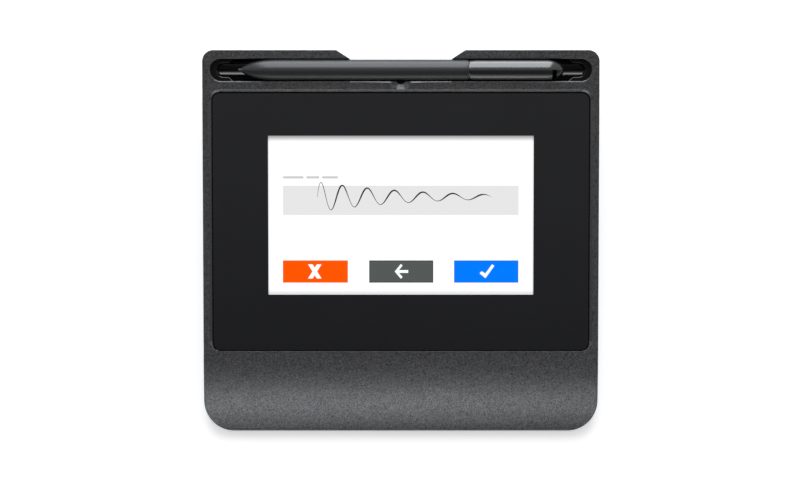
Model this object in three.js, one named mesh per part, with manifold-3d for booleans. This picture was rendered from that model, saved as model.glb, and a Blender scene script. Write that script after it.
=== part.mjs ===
// Signature pad for a shop counter: a wedge-shaped case with a glass-covered
// display, a pen tray behind the display, and the pen that lies in the tray.
// Millimetres: +X right, +Y to the rear, +Z up, desk at zero, origin under the middle.

import * as THREE from 'three';
import { mergeVertices } from 'three/addons/utils/BufferGeometryUtils.js';
import Module from 'manifold-3d';

// Gaps between pieces
const seam = 0.3;
const overrun = 6;

// Case
const caseWidth = 160.8;
const deckLength = 155.8;
const deckTiltDegrees = 10;
const wall = 2.4;
const rearCornerRadius = 4.5;
const frontCornerRadius = 12;
const palmRollLength = 31.8;
const noseRadius = 1.6;
const noseThickness = 5.5;
const floorThickness = 2.2;

// Cover glass and the ledge under it
const sideRim = 4;
const glassFromRear = 17.4;
const glassToPalmRoll = 1.9;
const glassThickness = 1.8;
const glassCornerRadius = 3;
const glassSink = 0.8;
const recessChamfer = 1.1;
const recessWall = 1.6;
const ledgeWidth = 4;
const ledgeThickness = 1.6;
const tapeThickness = 0.4;
const tapeWidth = 3;

// Display, pen sensing board and shield
const screenSideBorder = 22.4;
const screenRearBorder = 17.3;
const screenFrontBorder = 22.6;
const panelMargin = 3;
const panelThickness = 1.2;
const backlightMargin = 1;
const backlightThickness = 1.8;
const displayFrameWall = 0.6;
const displayFrameFloor = 0.5;
const sensingMargin = 0.1;
const sensingThickness = 1;
const shieldInset = 1;
const shieldThickness = 0.5;

// Pen
const penDiameter = 8.3;
const penEndRoom = 11.1;
const penShift = 0.05;
const penBelowDeck = 1.2;
const noseConeLength = 17;
const noseCurvePower = 2.9;
const barrelWall = 1.1;
const nibDiameter = 1.3;
const nibLength = 26;
const nibOut = 1.7;
const tipBoreLength = 5.5;
const chamberFromTip = 14;
const nibTravel = 0.3;
const tailCapLength = 38.5;
const tailRoundLength = 7.4;
const spigotLength = 6;
const spigotWall = 0.8;
const tailBoreLength = 26;
const hookSlotWidth = 1.8;
const hookSlotFromEnd = 3.2;
const coreWall = 0.8;
const coilWall = 0.5;
const coilLength = 10;
const penSensorLength = 6;
const penBoardEndRoom = 13.8;
const penBoardWidth = 4.6;
const penBoardThickness = 0.8;

// Pen tray and finger gap
const slotEndMargin = 3.2;
const slotWidth = 8.9;
const slotFromRear = 3.65;
const trayLip = 1.35;
const trayWall = 0.9;
const trayFloor = 1.6;
const trayFit = 0.15;
const trayRib = 2;
const trayRibDepth = 6.4;
const trayNeckLength = 8.9;
const trayNeckWidth = 5.6;
const trayNeckEnd = 2.6;
const trayNeckFlare = 1.2;
const trayGapDrop = 2.5;
const fingerGapWidth = 52.4;
const fingerGapNeck = 41.2;
const fingerGapSet = 0.5;
const scoopWidth = 0.75;
const scoopDepth = 0.27;

// Conical hole that the pen can stand in
const standFromRear = 12;
const standTopRadius = 4.6;
const standHoleRadius = 1.55;
const standConeDepth = 1.35;
const standHoleDepth = 13;
const standBossWall = 1.35;
const standBossDepth = 14.5;

// Feet
const footHeight = 2;
const footRadius = 5.5;
const footRecess = 0.8;
const footSideInset = 17;
const footEndInset = 19;

// Case screws and the posts they turn into
const postRadius = 3.2;
const screwRadius = 1.2;
const screwHeadRadius = 2.7;
const screwHeadThickness = 0.8;
const screwHeadRecess = 1.2;
const sideScrewLength = 8;
const frontScrewLength = 5.4;
const screwEdgeMargin = 1.2;
const frontScrewInset = 35.4;
const rearScrewShare = 0.155;
const middleScrewShare = 0.735;
const frontScrewShare = 0.905;

// Main board and what it carries
const boardSideRoom = 25.4;
const boardLength = 34;
const boardThickness = 1.6;
const boardRearGap = 0.8;
const standoffHeight = 3.5;
const standoffRadius = 2.7;
const standoffInset = 4;
const boardScrewRadius = 1;
const boardScrewHeadRadius = 2.2;
const boardScrewHeadThickness = 1.2;
const boardScrewLength = 4.4;
const controllerSize = 12;
const controllerThickness = 1.2;
const interfaceChipSize = 7;
const interfaceChipThickness = 1;
const chipSpacing = 16;
const crystalLength = 5;
const crystalWidth = 3.2;
const crystalThickness = 1;
const connectorDepth = 5;
const connectorHeight = 2;
const ribbonThickness = 0.3;
const displayRibbonWidth = 24;
const sensingRibbonWidth = 12;
const connectorMargin = 1;

// Cable inlet in the rear wall
const inletFromBoardEnd = 15;
const socketWidth = 9;
const socketHeight = 3.2;
const socketLength = 7.6;
const socketSkin = 0.4;
const socketTongue = 0.7;
const inletWidth = 14;
const inletHeight = 8;
const inletSink = 1.2;

// Lock slot in the rear wall and the plate behind it
const lockFromSide = 30.4;
const lockSlotWidth = 7.2;
const lockSlotHeight = 3.2;
const lockHeight = 16;
const lockPlateWidth = 15;
const lockPlateHeight = 10;
const lockPlateThickness = 1.5;

// Ballast plate
const ballastSideRoom = 32.4;
const ballastLength = 52;
const ballastThickness = 2.4;
const ballastFromRear = 48;
const displayToBallast = 2.2;

// How finely round surfaces are divided
const roundSides = 24;
const fineSides = 32;
const smallSides = 16;
const cornerSteps = 8;
const rollSteps = 12;
const noseSteps = 7;
const bulletSteps = 11;
const nibSteps = 4;

// Places that follow from the sizes
const tilt = THREE.MathUtils.degToRad(deckTiltDegrees);
const sinTilt = Math.sin(tilt);
const cosTilt = Math.cos(tilt);
const caseBottom = footHeight;
const floorTop = caseBottom + floorThickness;
const rollStart = deckLength - palmRollLength;
const glassWidth = caseWidth - 2 * sideRim;
const glassLength = rollStart - glassToPalmRoll - glassFromRear;
const glassBottom = glassSink + glassThickness;
const tapeTop = glassBottom + seam;
const ledgeTop = tapeTop + tapeThickness + seam;
const ledgeBottom = ledgeTop + ledgeThickness;
const glassMiddle = glassFromRear + glassLength / 2;

const screenWidth = glassWidth - 2 * screenSideBorder;
const screenLength = glassLength - screenRearBorder - screenFrontBorder;
const screenMiddle = glassFromRear + screenRearBorder + screenLength / 2;
const panelWidth = screenWidth + 2 * panelMargin;
const panelLength = screenLength + 2 * panelMargin;
const panelTop = glassBottom + seam;
const backlightWidth = panelWidth + 2 * backlightMargin;
const backlightLength = panelLength + 2 * backlightMargin;
const backlightTop = panelTop + panelThickness + seam;
const displayFrameWidth = backlightWidth + 2 * (seam + displayFrameWall);
const displayFrameLength = backlightLength + 2 * (seam + displayFrameWall);
const displayFrameTop = panelTop + seam;
const displayFloorTop = backlightTop + backlightThickness + seam;
const sensingWidth = displayFrameWidth + 2 * sensingMargin;
const sensingLength = displayFrameLength + 2 * sensingMargin;
const sensingTop = displayFloorTop + displayFrameFloor + seam;
const shieldTop = sensingTop + sensingThickness + seam;

const shieldLength = sensingLength - 2 * shieldInset;
const ballastTop = floorTop + seam + ballastThickness;
const displayDrop = (screenMiddle + shieldLength / 2) * sinTilt + (shieldTop + shieldThickness) * cosTilt;
const rearHeight = ballastTop + displayToBallast + displayDrop;
const noseAlong = deckLength - noseRadius;
const noseBelow = (rearHeight - caseBottom - noseRadius - noseAlong * sinTilt) / cosTilt;
const noseAhead = noseAlong - rollStart;
const rollRadius = (noseAhead ** 2 + noseBelow ** 2 - noseRadius ** 2) / (2 * (noseBelow - noseRadius));
const caseDepth = noseAlong * cosTilt - noseBelow * sinTilt + noseRadius;
const rearY = caseDepth / 2;

const slotLength = caseWidth - 2 * slotEndMargin;
const penLength = slotLength - 2 * penEndRoom;
const penRadius = penDiameter / 2;
const boreRadius = penRadius - barrelWall;
const slotMiddle = slotFromRear + slotWidth / 2;
const troughRadius = penRadius + seam;
const trayHalfWidth = troughRadius + trayWall;
const trayHalfLength = slotLength / 2 + trayHalfWidth - slotWidth / 2;
const trayTop = trayLip + trayFit;
const trayBottom = penBelowDeck + troughRadius + trayFloor;
const gapBack = slotFromRear + fingerGapSet;

const boardWidth = caseWidth - 2 * boardSideRoom;
const boardBottom = floorTop + standoffHeight + seam;
const boardTop = boardBottom + boardThickness;
const boardRear = rearY - wall - boardRearGap;
const boardMiddleY = boardRear - boardLength / 2;
const inletMiddleZ = boardTop + seam + socketHeight / 2;
const inletFromMiddle = boardWidth / 2 - inletFromBoardEnd;
const lockFromMiddle = caseWidth / 2 - lockFromSide;
const ballastWidth = caseWidth - 2 * ballastSideRoom;
const frontScrewX = caseWidth / 2 - frontScrewInset;

// Closed solids, joined and cut
const wasm = await Module();
wasm.setup();

function fromArrays(vertProperties, triVerts) {
  return new wasm.Manifold(new wasm.Mesh({ numProp: 3, vertProperties, triVerts }));
}

function toSolid(geometry) {
  geometry.deleteAttribute('normal');
  geometry.deleteAttribute('uv');
  const merged = mergeVertices(geometry);
  const indices = merged.index.array;
  const kept = [];
  for (let i = 0; i < indices.length; i += 3) {
    const [a, b, c] = [indices[i], indices[i + 1], indices[i + 2]];
    if (a !== b && b !== c && c !== a) kept.push(a, b, c);
  }
  return fromArrays(new Float32Array(merged.attributes.position.array), new Uint32Array(kept));
}

function toGeometry(solid) {
  const mesh = solid.getMesh();
  const geometry = new THREE.BufferGeometry();
  geometry.setAttribute('position', new THREE.BufferAttribute(mesh.vertProperties, mesh.numProp));
  geometry.setIndex(new THREE.BufferAttribute(mesh.triVerts, 1));
  geometry.computeVertexNormals();
  return geometry;
}

function joined(first, ...others) {
  return others.reduce((solid, other) => solid.add(other), first);
}

function cut(first, ...others) {
  return others.reduce((solid, other) => solid.subtract(other), first);
}

// A block centred on x and y, standing on its bottom height
function block(sizeX, sizeY, sizeZ, x, y, bottom) {
  const geometry = new THREE.BoxGeometry(sizeX, sizeY, sizeZ);
  return toSolid(geometry.translate(x, y, bottom + sizeZ / 2));
}

// An upright round rod, or a cone where its top radius differs
function rod(radius, bottom, top, x, y, sides = roundSides, topRadius = radius) {
  const geometry = new THREE.CylinderGeometry(topRadius, radius, top - bottom, sides);
  geometry.rotateX(Math.PI / 2);
  return toSolid(geometry.translate(x, y, (top + bottom) / 2));
}

// An outline in x and y, made solid between two heights
function slab(outline, bottom, top) {
  const settings = { depth: top - bottom, bevelEnabled: false, curveSegments: cornerSteps };
  return toSolid(new THREE.ExtrudeGeometry(outline, settings).translate(0, 0, bottom));
}

// A row of points in y and z, made solid across x
const acrossX = new THREE.Matrix4().makeBasis(
  new THREE.Vector3(0, 1, 0),
  new THREE.Vector3(0, 0, 1),
  new THREE.Vector3(1, 0, 0),
);

function across(points, width, x = 0) {
  const settings = { depth: width, bevelEnabled: false };
  const geometry = new THREE.ExtrudeGeometry(new THREE.Shape(points), settings);
  geometry.translate(0, 0, -width / 2);
  return toSolid(geometry.applyMatrix4(acrossX).translate(x, 0, 0));
}

// A round body along x, from a closed outline of x positions and radii
function turned(outline, sides = roundSides) {
  const points = outline.map(([along, radius]) => new THREE.Vector2(radius, along));
  const geometry = new THREE.LatheGeometry([...points, points[0].clone()], sides);
  return toSolid(geometry.rotateZ(-Math.PI / 2));
}

// A rectangle with rounded corners, from its rear edge forward
function roundedRectangle(width, rear, front, rearRadius, frontRadius = rearRadius) {
  const side = width / 2;
  const shape = new THREE.Shape();
  shape.moveTo(-side + frontRadius, front);
  shape.absarc(side - frontRadius, front + frontRadius, frontRadius, -Math.PI / 2, 0);
  shape.absarc(side - rearRadius, rear - rearRadius, rearRadius, 0, Math.PI / 2);
  shape.absarc(-side + rearRadius, rear - rearRadius, rearRadius, Math.PI / 2, Math.PI);
  shape.absarc(-side + frontRadius, front + frontRadius, frontRadius, Math.PI, 1.5 * Math.PI);
  return shape;
}

function centredRectangle(width, length, middle, radius) {
  return roundedRectangle(width, length / 2 - middle, -length / 2 - middle, radius);
}

// A slot outline with round ends, centred on the tray
function slotOutline(halfLength, halfWidth) {
  return centredRectangle(2 * halfLength, 2 * halfWidth, slotMiddle, halfWidth);
}

// The sloping deck's own frame: x, y to the rear from the rear edge, z up from the deck
const deckMatrix = new THREE.Matrix4().makeRotationX(tilt).setPosition(0, rearY, rearHeight);

function ontoDeck(solid) {
  const mesh = solid.getMesh();
  const place = new THREE.BufferAttribute(mesh.vertProperties, mesh.numProp);
  place.applyMatrix4(deckMatrix);
  return fromArrays(place.array, mesh.triVerts);
}

function deckPoint(along, below) {
  const y = rearY - along * cosTilt + below * sinTilt;
  return new THREE.Vector2(y, rearHeight - along * sinTilt - below * cosTilt);
}

// Side view of the case: flat deck, palm rest rolling down, round nose, flat base
function rollPoints(inset, endAngle) {
  const radius = rollRadius - inset;
  const points = [];
  for (let i = 0; i <= rollSteps; i += 1) {
    const angle = (endAngle * i) / rollSteps;
    points.push(deckPoint(rollStart + radius * Math.sin(angle), rollRadius - radius * Math.cos(angle)));
  }
  return points;
}

function outerProfile() {
  const rollEnd = Math.asin(noseAhead / (rollRadius - noseRadius));
  const noseCentre = deckPoint(noseAlong, noseBelow);
  const points = [deckPoint(-overrun, 0), ...rollPoints(0, rollEnd)];
  const noseStart = rollEnd + tilt;
  for (let i = 1; i <= noseSteps; i += 1) {
    const angle = noseStart + ((Math.PI - noseStart) * i) / noseSteps;
    const y = noseCentre.x - noseRadius * Math.sin(angle);
    points.push(new THREE.Vector2(y, noseCentre.y + noseRadius * Math.cos(angle)));
  }
  points.push(new THREE.Vector2(rearY + overrun, caseBottom));
  return points;
}

function innerProfile(inset, bottom) {
  const ahead = palmRollLength - noseThickness - (inset - wall);
  const points = rollPoints(inset, Math.asin(ahead / (rollRadius - inset)));
  const frontY = points[points.length - 1].x;
  return [
    deckPoint(-overrun, inset),
    ...points,
    new THREE.Vector2(frontY, bottom),
    new THREE.Vector2(rearY + overrun, bottom),
  ];
}

function caseOutline(inset) {
  const width = caseWidth - 2 * inset;
  const rear = rearY - inset;
  const front = inset - rearY;
  return roundedRectangle(width, rear, front, rearCornerRadius - inset, frontCornerRadius - inset);
}

// What is hollow inside a case of this wall
function hollow(inset, bottom, top) {
  return across(innerProfile(inset, bottom - overrun), caseWidth).intersect(
    slab(caseOutline(inset), bottom, top),
  );
}

// Finger gap: a notch through the rear wall, wider at the rear, seen square to the deck
function gapNotch(widening, back, top, bottom) {
  const slant = (fingerGapWidth - fingerGapNeck) / 2 / slotFromRear;
  const neck = fingerGapNeck / 2 + widening;
  const mouth = neck + slant * (slotFromRear + overrun);
  const shape = new THREE.Shape([
    new THREE.Vector2(-neck, -back),
    new THREE.Vector2(neck, -back),
    new THREE.Vector2(neck, -slotFromRear),
    new THREE.Vector2(mouth, overrun),
    new THREE.Vector2(-mouth, overrun),
    new THREE.Vector2(-neck, -slotFromRear),
  ]);
  return slab(shape, -bottom, -top);
}

// The conical hole and the bore under it
function standHole() {
  const slope = (standTopRadius - standHoleRadius) / standConeDepth;
  const wide = standTopRadius + slope * overrun;
  return joined(
    rod(standHoleRadius, -standConeDepth, overrun, 0, -standFromRear, roundSides, wide),
    rod(standHoleRadius, -standHoleDepth, -standConeDepth + seam, 0, -standFromRear),
  );
}

// Places of the case screws, from the middle and in shares of the depth from the rear
const sideScrewX = caseWidth / 2 - wall - seam - screwHeadRadius - seam - screwEdgeMargin;
const screwPlaces = [
  { name: 'rear_left', x: -sideScrewX, share: rearScrewShare, length: sideScrewLength },
  { name: 'rear_right', x: sideScrewX, share: rearScrewShare, length: sideScrewLength },
  { name: 'middle_left', x: -sideScrewX, share: middleScrewShare, length: sideScrewLength },
  { name: 'middle_right', x: sideScrewX, share: middleScrewShare, length: sideScrewLength },
  { name: 'front_left', x: -frontScrewX, share: frontScrewShare, length: frontScrewLength },
  { name: 'front_right', x: frontScrewX, share: frontScrewShare, length: frontScrewLength },
].map((place) => ({ ...place, y: rearY - place.share * caseDepth }));

const screwShoulder = caseBottom + screwHeadRecess - seam;

const corners = [
  { name: 'rear_left', x: -1, y: 1 },
  { name: 'rear_right', x: 1, y: 1 },
  { name: 'front_left', x: -1, y: -1 },
  { name: 'front_right', x: 1, y: -1 },
];

const boardHoles = corners.map(({ name, x, y }) => ({
  name,
  x: x * (boardWidth / 2 - standoffInset),
  y: boardMiddleY + y * (boardLength / 2 - standoffInset),
}));

const footPlaces = corners.map(({ name, x, y }) => ({
  name,
  x: x * (caseWidth / 2 - footSideInset),
  y: y * (caseDepth / 2 - footEndInset),
}));

// Top case: shell with the glass recess and its ledge, tray slot, finger gap and screw posts
function topCase() {
  const outer = across(outerProfile(), caseWidth + overrun).intersect(
    slab(caseOutline(0), 0, rearHeight + overrun),
  );
  const gapBacking = ontoDeck(gapNotch(wall, gapBack + wall, -overrun, rearHeight + overrun));
  const inside = cut(hollow(wall, -overrun, rearHeight), gapBacking);
  const recess = centredRectangle(
    glassWidth + 2 * seam, glassLength + 2 * seam, glassMiddle, glassCornerRadius + seam,
  );
  const surround = centredRectangle(
    glassWidth + 2 * (seam + recessWall),
    glassLength + 2 * (seam + recessWall),
    glassMiddle,
    glassCornerRadius + seam + recessWall,
  );
  const opening = centredRectangle(
    glassWidth - 2 * ledgeWidth, glassLength - 2 * ledgeWidth, glassMiddle, glassCornerRadius,
  );
  // Bevelled at the rear and the sides, square at the front
  const bevelOutline = centredRectangle(
    glassWidth + 2 * seam,
    glassLength + 2 * seam - recessChamfer,
    glassMiddle - recessChamfer / 2,
    glassCornerRadius + seam,
  );
  const bevel = new THREE.ExtrudeGeometry(bevelOutline, {
    depth: overrun,
    bevelThickness: recessChamfer,
    bevelSize: recessChamfer,
    bevelSegments: 1,
    curveSegments: cornerSteps,
  });
  const ribs = joined(
    slab(surround, -ledgeBottom, -recessChamfer),
    slab(slotOutline(trayHalfLength + trayRib, trayHalfWidth + trayRib), -trayRibDepth, -trayLip),
  );
  const posts = screwPlaces.map(({ x, y }) =>
    rod(postRadius, floorTop + seam, rearHeight, x, y, smallSides).intersect(outer),
  );
  const deckCuts = joined(
    slab(recess, -ledgeTop, overrun),
    toSolid(bevel),
    slab(opening, -ledgeBottom - seam, 0),
    slab(slotOutline(slotLength / 2, slotWidth / 2), -trayBottom, overrun),
    slab(
      slotOutline(trayHalfLength + trayFit, trayHalfWidth + trayFit), -trayBottom - seam, -trayLip,
    ),
    gapNotch(0, gapBack, -overrun, rearHeight + overrun),
    frontScoop(),
    standHole(),
  );
  const pilotHoles = screwPlaces.map(({ x, y, length }) =>
    rod(screwRadius + seam, caseBottom, screwShoulder + length + seam, x, y, smallSides),
  );
  const shell = joined(cut(outer, inside), ontoDeck(ribs).intersect(outer), ...posts);
  return cut(shell, ontoDeck(deckCuts), ...pilotHoles, ...rearWallCuts());
}

// Gentle bevel on the front edge of the tray slot, opposite the finger gap
function frontScoop() {
  const edge = -slotFromRear - slotWidth;
  const points = [
    new THREE.Vector2(edge + scoopWidth, -2 * scoopDepth),
    new THREE.Vector2(edge + scoopWidth, scoopDepth),
    new THREE.Vector2(edge - 2 * scoopWidth, scoopDepth),
  ];
  return across(points, fingerGapNeck);
}

// Cable inlet with its shallow recess, and the lock slot
function rearWallCuts() {
  const mouthWidth = socketWidth + 2 * seam;
  const mouthHeight = socketHeight + 2 * seam;
  const through = 2 * (wall + overrun);
  return [
    block(mouthWidth, through, mouthHeight, -inletFromMiddle, rearY, inletMiddleZ - mouthHeight / 2),
    block(inletWidth, 2 * inletSink, inletHeight, -inletFromMiddle, rearY, inletMiddleZ - inletHeight / 2),
    block(lockSlotWidth, through, lockSlotHeight, lockFromMiddle, rearY, lockHeight - lockSlotHeight / 2),
  ];
}

// Bottom case: flat base panel inside the top case's skirt, with board standoffs
function bottomCase() {
  const panel = hollow(wall + seam, caseBottom, floorTop);
  const standoffs = boardHoles.map(({ x, y }) =>
    rod(standoffRadius, floorTop - seam, floorTop + standoffHeight, x, y, smallSides),
  );
  const standoffBores = boardHoles.map(({ x, y }) =>
    rod(boardScrewRadius + seam, floorTop, floorTop + standoffHeight + seam, x, y, smallSides),
  );
  const footRecesses = footPlaces.map(({ x, y }) =>
    rod(footRadius + seam, caseBottom - seam, caseBottom + footRecess, x, y),
  );
  const screwHoles = screwPlaces.map(({ x, y }) =>
    joined(
      rod(screwRadius + seam, caseBottom - seam, floorTop + seam, x, y, smallSides),
      rod(screwHeadRadius + seam, caseBottom - seam, caseBottom + screwHeadRecess, x, y, smallSides),
    ),
  );
  return cut(joined(panel, ...standoffs), ...standoffBores, ...footRecesses, ...screwHoles);
}

// Cover glass, flat pane with rounded corners
function coverGlass() {
  const outline = centredRectangle(glassWidth, glassLength, glassMiddle, glassCornerRadius);
  return slab(outline, -glassBottom, -glassSink);
}

// Adhesive ring between the glass and the ledge
function glassTape() {
  const inner = ledgeWidth - seam;
  const outer = inner - tapeWidth;
  const radius = glassCornerRadius;
  const ring = centredRectangle(glassWidth - 2 * outer, glassLength - 2 * outer, glassMiddle, radius);
  const hole = centredRectangle(glassWidth - 2 * inner, glassLength - 2 * inner, glassMiddle, radius);
  return cut(
    slab(ring, -tapeTop - tapeThickness, -tapeTop),
    slab(hole, -tapeTop - 2 * tapeThickness, -tapeTop + tapeThickness),
  );
}

function layer(width, length, top, thickness) {
  return block(width, length, thickness, 0, -screenMiddle, -top - thickness);
}

// Sheet metal tray that holds the panel and its backlight
function displayFrame() {
  const height = displayFloorTop + displayFrameFloor - displayFrameTop;
  return cut(
    layer(displayFrameWidth, displayFrameLength, displayFrameTop, height),
    layer(backlightWidth + 2 * seam, backlightLength + 2 * seam, 0, displayFloorTop),
  );
}

// Pen tray: glossy trough with a narrow neck at each end and a boss for the standing pen
function penTray() {
  const body = slab(slotOutline(trayHalfLength, trayHalfWidth), -trayBottom, -trayTop);
  const neckHalfLength = slotLength / 2 - trayNeckEnd;
  const middleLength = slotLength - 2 * trayNeckLength;
  const trough = across(troughSection(), slotLength + 2 * overrun);
  const middle = trough.intersect(slab(flaredOutline(middleLength / 2), -trayBottom, overrun));
  const necks = trough.intersect(
    slab(slotOutline(neckHalfLength, trayNeckWidth / 2), -trayBottom, overrun),
  );
  const boss = rod(
    standHoleRadius + standBossWall, -standBossDepth, -trayBottom + seam, 0, -standFromRear,
  );
  const gap = joined(
    gapNotch(seam, gapBack + seam, -overrun, trayBottom + overrun),
    gapNotch(seam, slotMiddle, -overrun, penBelowDeck + trayGapDrop),
  );
  return cut(joined(body, boss), middle, necks, gap, frontScoop(), standHole());
}

// Long middle of the trough, slanting in at each end to the neck
function flaredOutline(halfLength) {
  const wide = slotWidth;
  const narrow = trayNeckWidth / 2;
  const rightSide = [
    [halfLength - wide + troughRadius, wide],
    [halfLength + trayNeckFlare, narrow],
    [halfLength + trayNeckFlare, -narrow],
    [halfLength - wide + troughRadius, -wide],
  ];
  const right = rightSide.map(([x, y]) => new THREE.Vector2(x, y - slotMiddle));
  const left = rightSide.map(([x, y]) => new THREE.Vector2(-x, -y - slotMiddle));
  return new THREE.Shape([...right, ...left]);
}

// Section of the trough, open at the top, in y and z of the deck
function troughSection() {
  const points = [];
  for (let i = 0; i <= roundSides; i += 1) {
    const angle = Math.PI + (Math.PI * i) / roundSides;
    const y = -slotMiddle + troughRadius * Math.cos(angle);
    points.push(new THREE.Vector2(y, -penBelowDeck + troughRadius * Math.sin(angle)));
  }
  points.push(new THREE.Vector2(-slotMiddle + troughRadius, overrun));
  points.push(new THREE.Vector2(-slotMiddle - troughRadius, overrun));
  return points;
}

// Pen pieces lie along x with the pen's middle at zero and its tip to the left
const tipX = -penLength / 2;
const tailX = penLength / 2;
const seamX = tailX - tailCapLength;

// Barrel: hollow tube with a bullet nose, a bore for the nib and a chamber behind it
function penBarrel() {
  const noseSkin = [];
  for (let i = 0; i <= bulletSteps; i += 1) {
    const along = nibOut + ((noseConeLength - nibOut) * i) / bulletSteps;
    const left = Math.max(0, 1 - along / noseConeLength);
    noseSkin.push([tipX + along, penRadius * (1 - left ** noseCurvePower)]);
  }
  const nibBore = nibDiameter / 2 + seam;
  const boreEnd = tipX + nibOut + tipBoreLength;
  return turned([
    ...noseSkin,
    [seamX - seam / 2, penRadius],
    [seamX - seam / 2, boreRadius],
    [tipX + chamberFromTip, boreRadius],
    [boreEnd, nibBore + seam],
    [boreEnd, nibBore],
    [tipX + nibOut, nibBore],
  ], fineSides);
}

// Tail cap: rounded end, spigot that fits the barrel, slot that a tether loops through
function penTailCap() {
  const start = seamX + seam / 2;
  const spigotRadius = boreRadius - seam;
  const tailSkin = [];
  for (let i = 0; i <= cornerSteps; i += 1) {
    const angle = (Math.PI / 2) * (i / cornerSteps);
    const x = tailX - tailRoundLength + tailRoundLength * Math.sin(angle);
    tailSkin.push([x, i === cornerSteps ? 0 : penRadius * Math.cos(angle)]);
  }
  const body = turned([
    [seamX - spigotLength, spigotRadius],
    [start, spigotRadius],
    [start, penRadius],
    ...tailSkin,
    [seamX + tailBoreLength, 0],
    [seamX + tailBoreLength, spigotRadius - spigotWall],
    [seamX - spigotLength, spigotRadius - spigotWall],
  ], fineSides);
  const slotX = tailX - hookSlotFromEnd - hookSlotWidth / 2;
  return cut(body, block(hookSlotWidth, penDiameter, penDiameter, slotX, -penRadius, -penRadius));
}

function tube(from, to, outer, inner, sides = smallSides) {
  return turned([[from, outer], [to, outer], [to, inner], [from, inner]], sides);
}

// Nib: slim rod with a rounded point
function penNib() {
  const radius = nibDiameter / 2;
  const points = [[tipX, 0]];
  for (let i = 1; i <= nibSteps; i += 1) {
    const angle = (Math.PI / 2) * (i / nibSteps);
    points.push([tipX + radius * (1 - Math.cos(angle)), radius * Math.sin(angle)]);
  }
  return turned([...points, [tipX + nibLength, radius], [tipX + nibLength, 0]], smallSides);
}

const coreFrom = tipX + chamberFromTip + seam;
const coreRadius = nibDiameter / 2 + seam + coreWall;
const sensorFrom = tipX + nibLength + nibTravel + seam;
const penBoardFrom = sensorFrom + penSensorLength + seam;
const penBoardLength = seamX - spigotLength - penBoardEndRoom - penBoardFrom;

// Bent ribbon, a thin strip along points in y and z
function ribbon(points, width, x) {
  const offset = new THREE.Vector2(ribbonThickness, 0);
  const back = points.map((point) => point.clone().add(offset)).reverse();
  return across([...points, ...back], width, x);
}

const displayRearEdge = screenMiddle - displayFrameLength / 2 - seam;
const sensingRearEdge = screenMiddle - sensingLength / 2 - seam;
const displayConnectorY = deckPoint(displayRearEdge, displayFloorTop).x;
const sensingConnectorY = deckPoint(sensingRearEdge, sensingTop).x;
const ribbonFoot = boardTop + seam + connectorHeight + seam;
const sensingRibbonX = displayRibbonWidth / 2 + sensingRibbonWidth + connectorDepth;

function displayRibbon() {
  return ribbon([
    deckPoint(displayRearEdge, displayFrameTop),
    deckPoint(displayRearEdge, shieldTop),
    new THREE.Vector2(displayConnectorY, ribbonFoot),
  ], displayRibbonWidth, 0);
}

function sensingRibbon() {
  return ribbon([
    deckPoint(sensingRearEdge, sensingTop),
    deckPoint(sensingRearEdge, shieldTop),
    new THREE.Vector2(sensingConnectorY, ribbonFoot),
  ], sensingRibbonWidth, sensingRibbonX);
}

// Main board with its four screw holes
function mainBoard() {
  const board = block(boardWidth, boardLength, boardThickness, 0, boardMiddleY, boardBottom);
  const holes = boardHoles.map(({ x, y }) =>
    rod(boardScrewRadius + seam, boardBottom - seam, boardTop + seam, x, y, smallSides),
  );
  return cut(board, ...holes);
}

function onBoard(width, length, height, x, y) {
  return block(width, length, height, x, y, boardTop + seam);
}

// Cable inlet socket: metal shell with a tongue inside, its mouth to the rear
function inletSocket() {
  const middleY = rearY - inletSink - seam - socketLength / 2;
  const inner = socketHeight - 2 * socketSkin;
  const bottom = boardTop + seam;
  const shell = block(socketWidth, socketLength, socketHeight, -inletFromMiddle, middleY, bottom);
  const mouth = block(
    socketWidth - 2 * socketSkin, socketLength, inner,
    -inletFromMiddle, middleY + socketSkin * 2, bottom + socketSkin,
  );
  const tongueY = middleY - socketSkin;
  const tongue = block(
    socketWidth - 6 * socketSkin, socketLength - 2 * socketSkin, socketTongue,
    -inletFromMiddle, tongueY, bottom + (socketHeight - socketTongue) / 2,
  );
  return joined(cut(shell, mouth), tongue);
}

// Steel plate behind the rear wall that a cable lock holds on to
function lockPlate() {
  const y = rearY - wall - seam - lockPlateThickness / 2;
  return cut(
    block(lockPlateWidth, lockPlateThickness, lockPlateHeight, lockFromMiddle, y,
      lockHeight - lockPlateHeight / 2),
    block(lockSlotWidth, 2 * lockPlateThickness, lockSlotHeight, lockFromMiddle, y,
      lockHeight - lockSlotHeight / 2),
  );
}

function screw(x, y, bottom, shoulder, top, headRadius, shankRadius) {
  return joined(
    rod(headRadius, bottom, shoulder, x, y, smallSides),
    rod(shankRadius, (bottom + shoulder) / 2, top, x, y, smallSides),
  );
}

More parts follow.
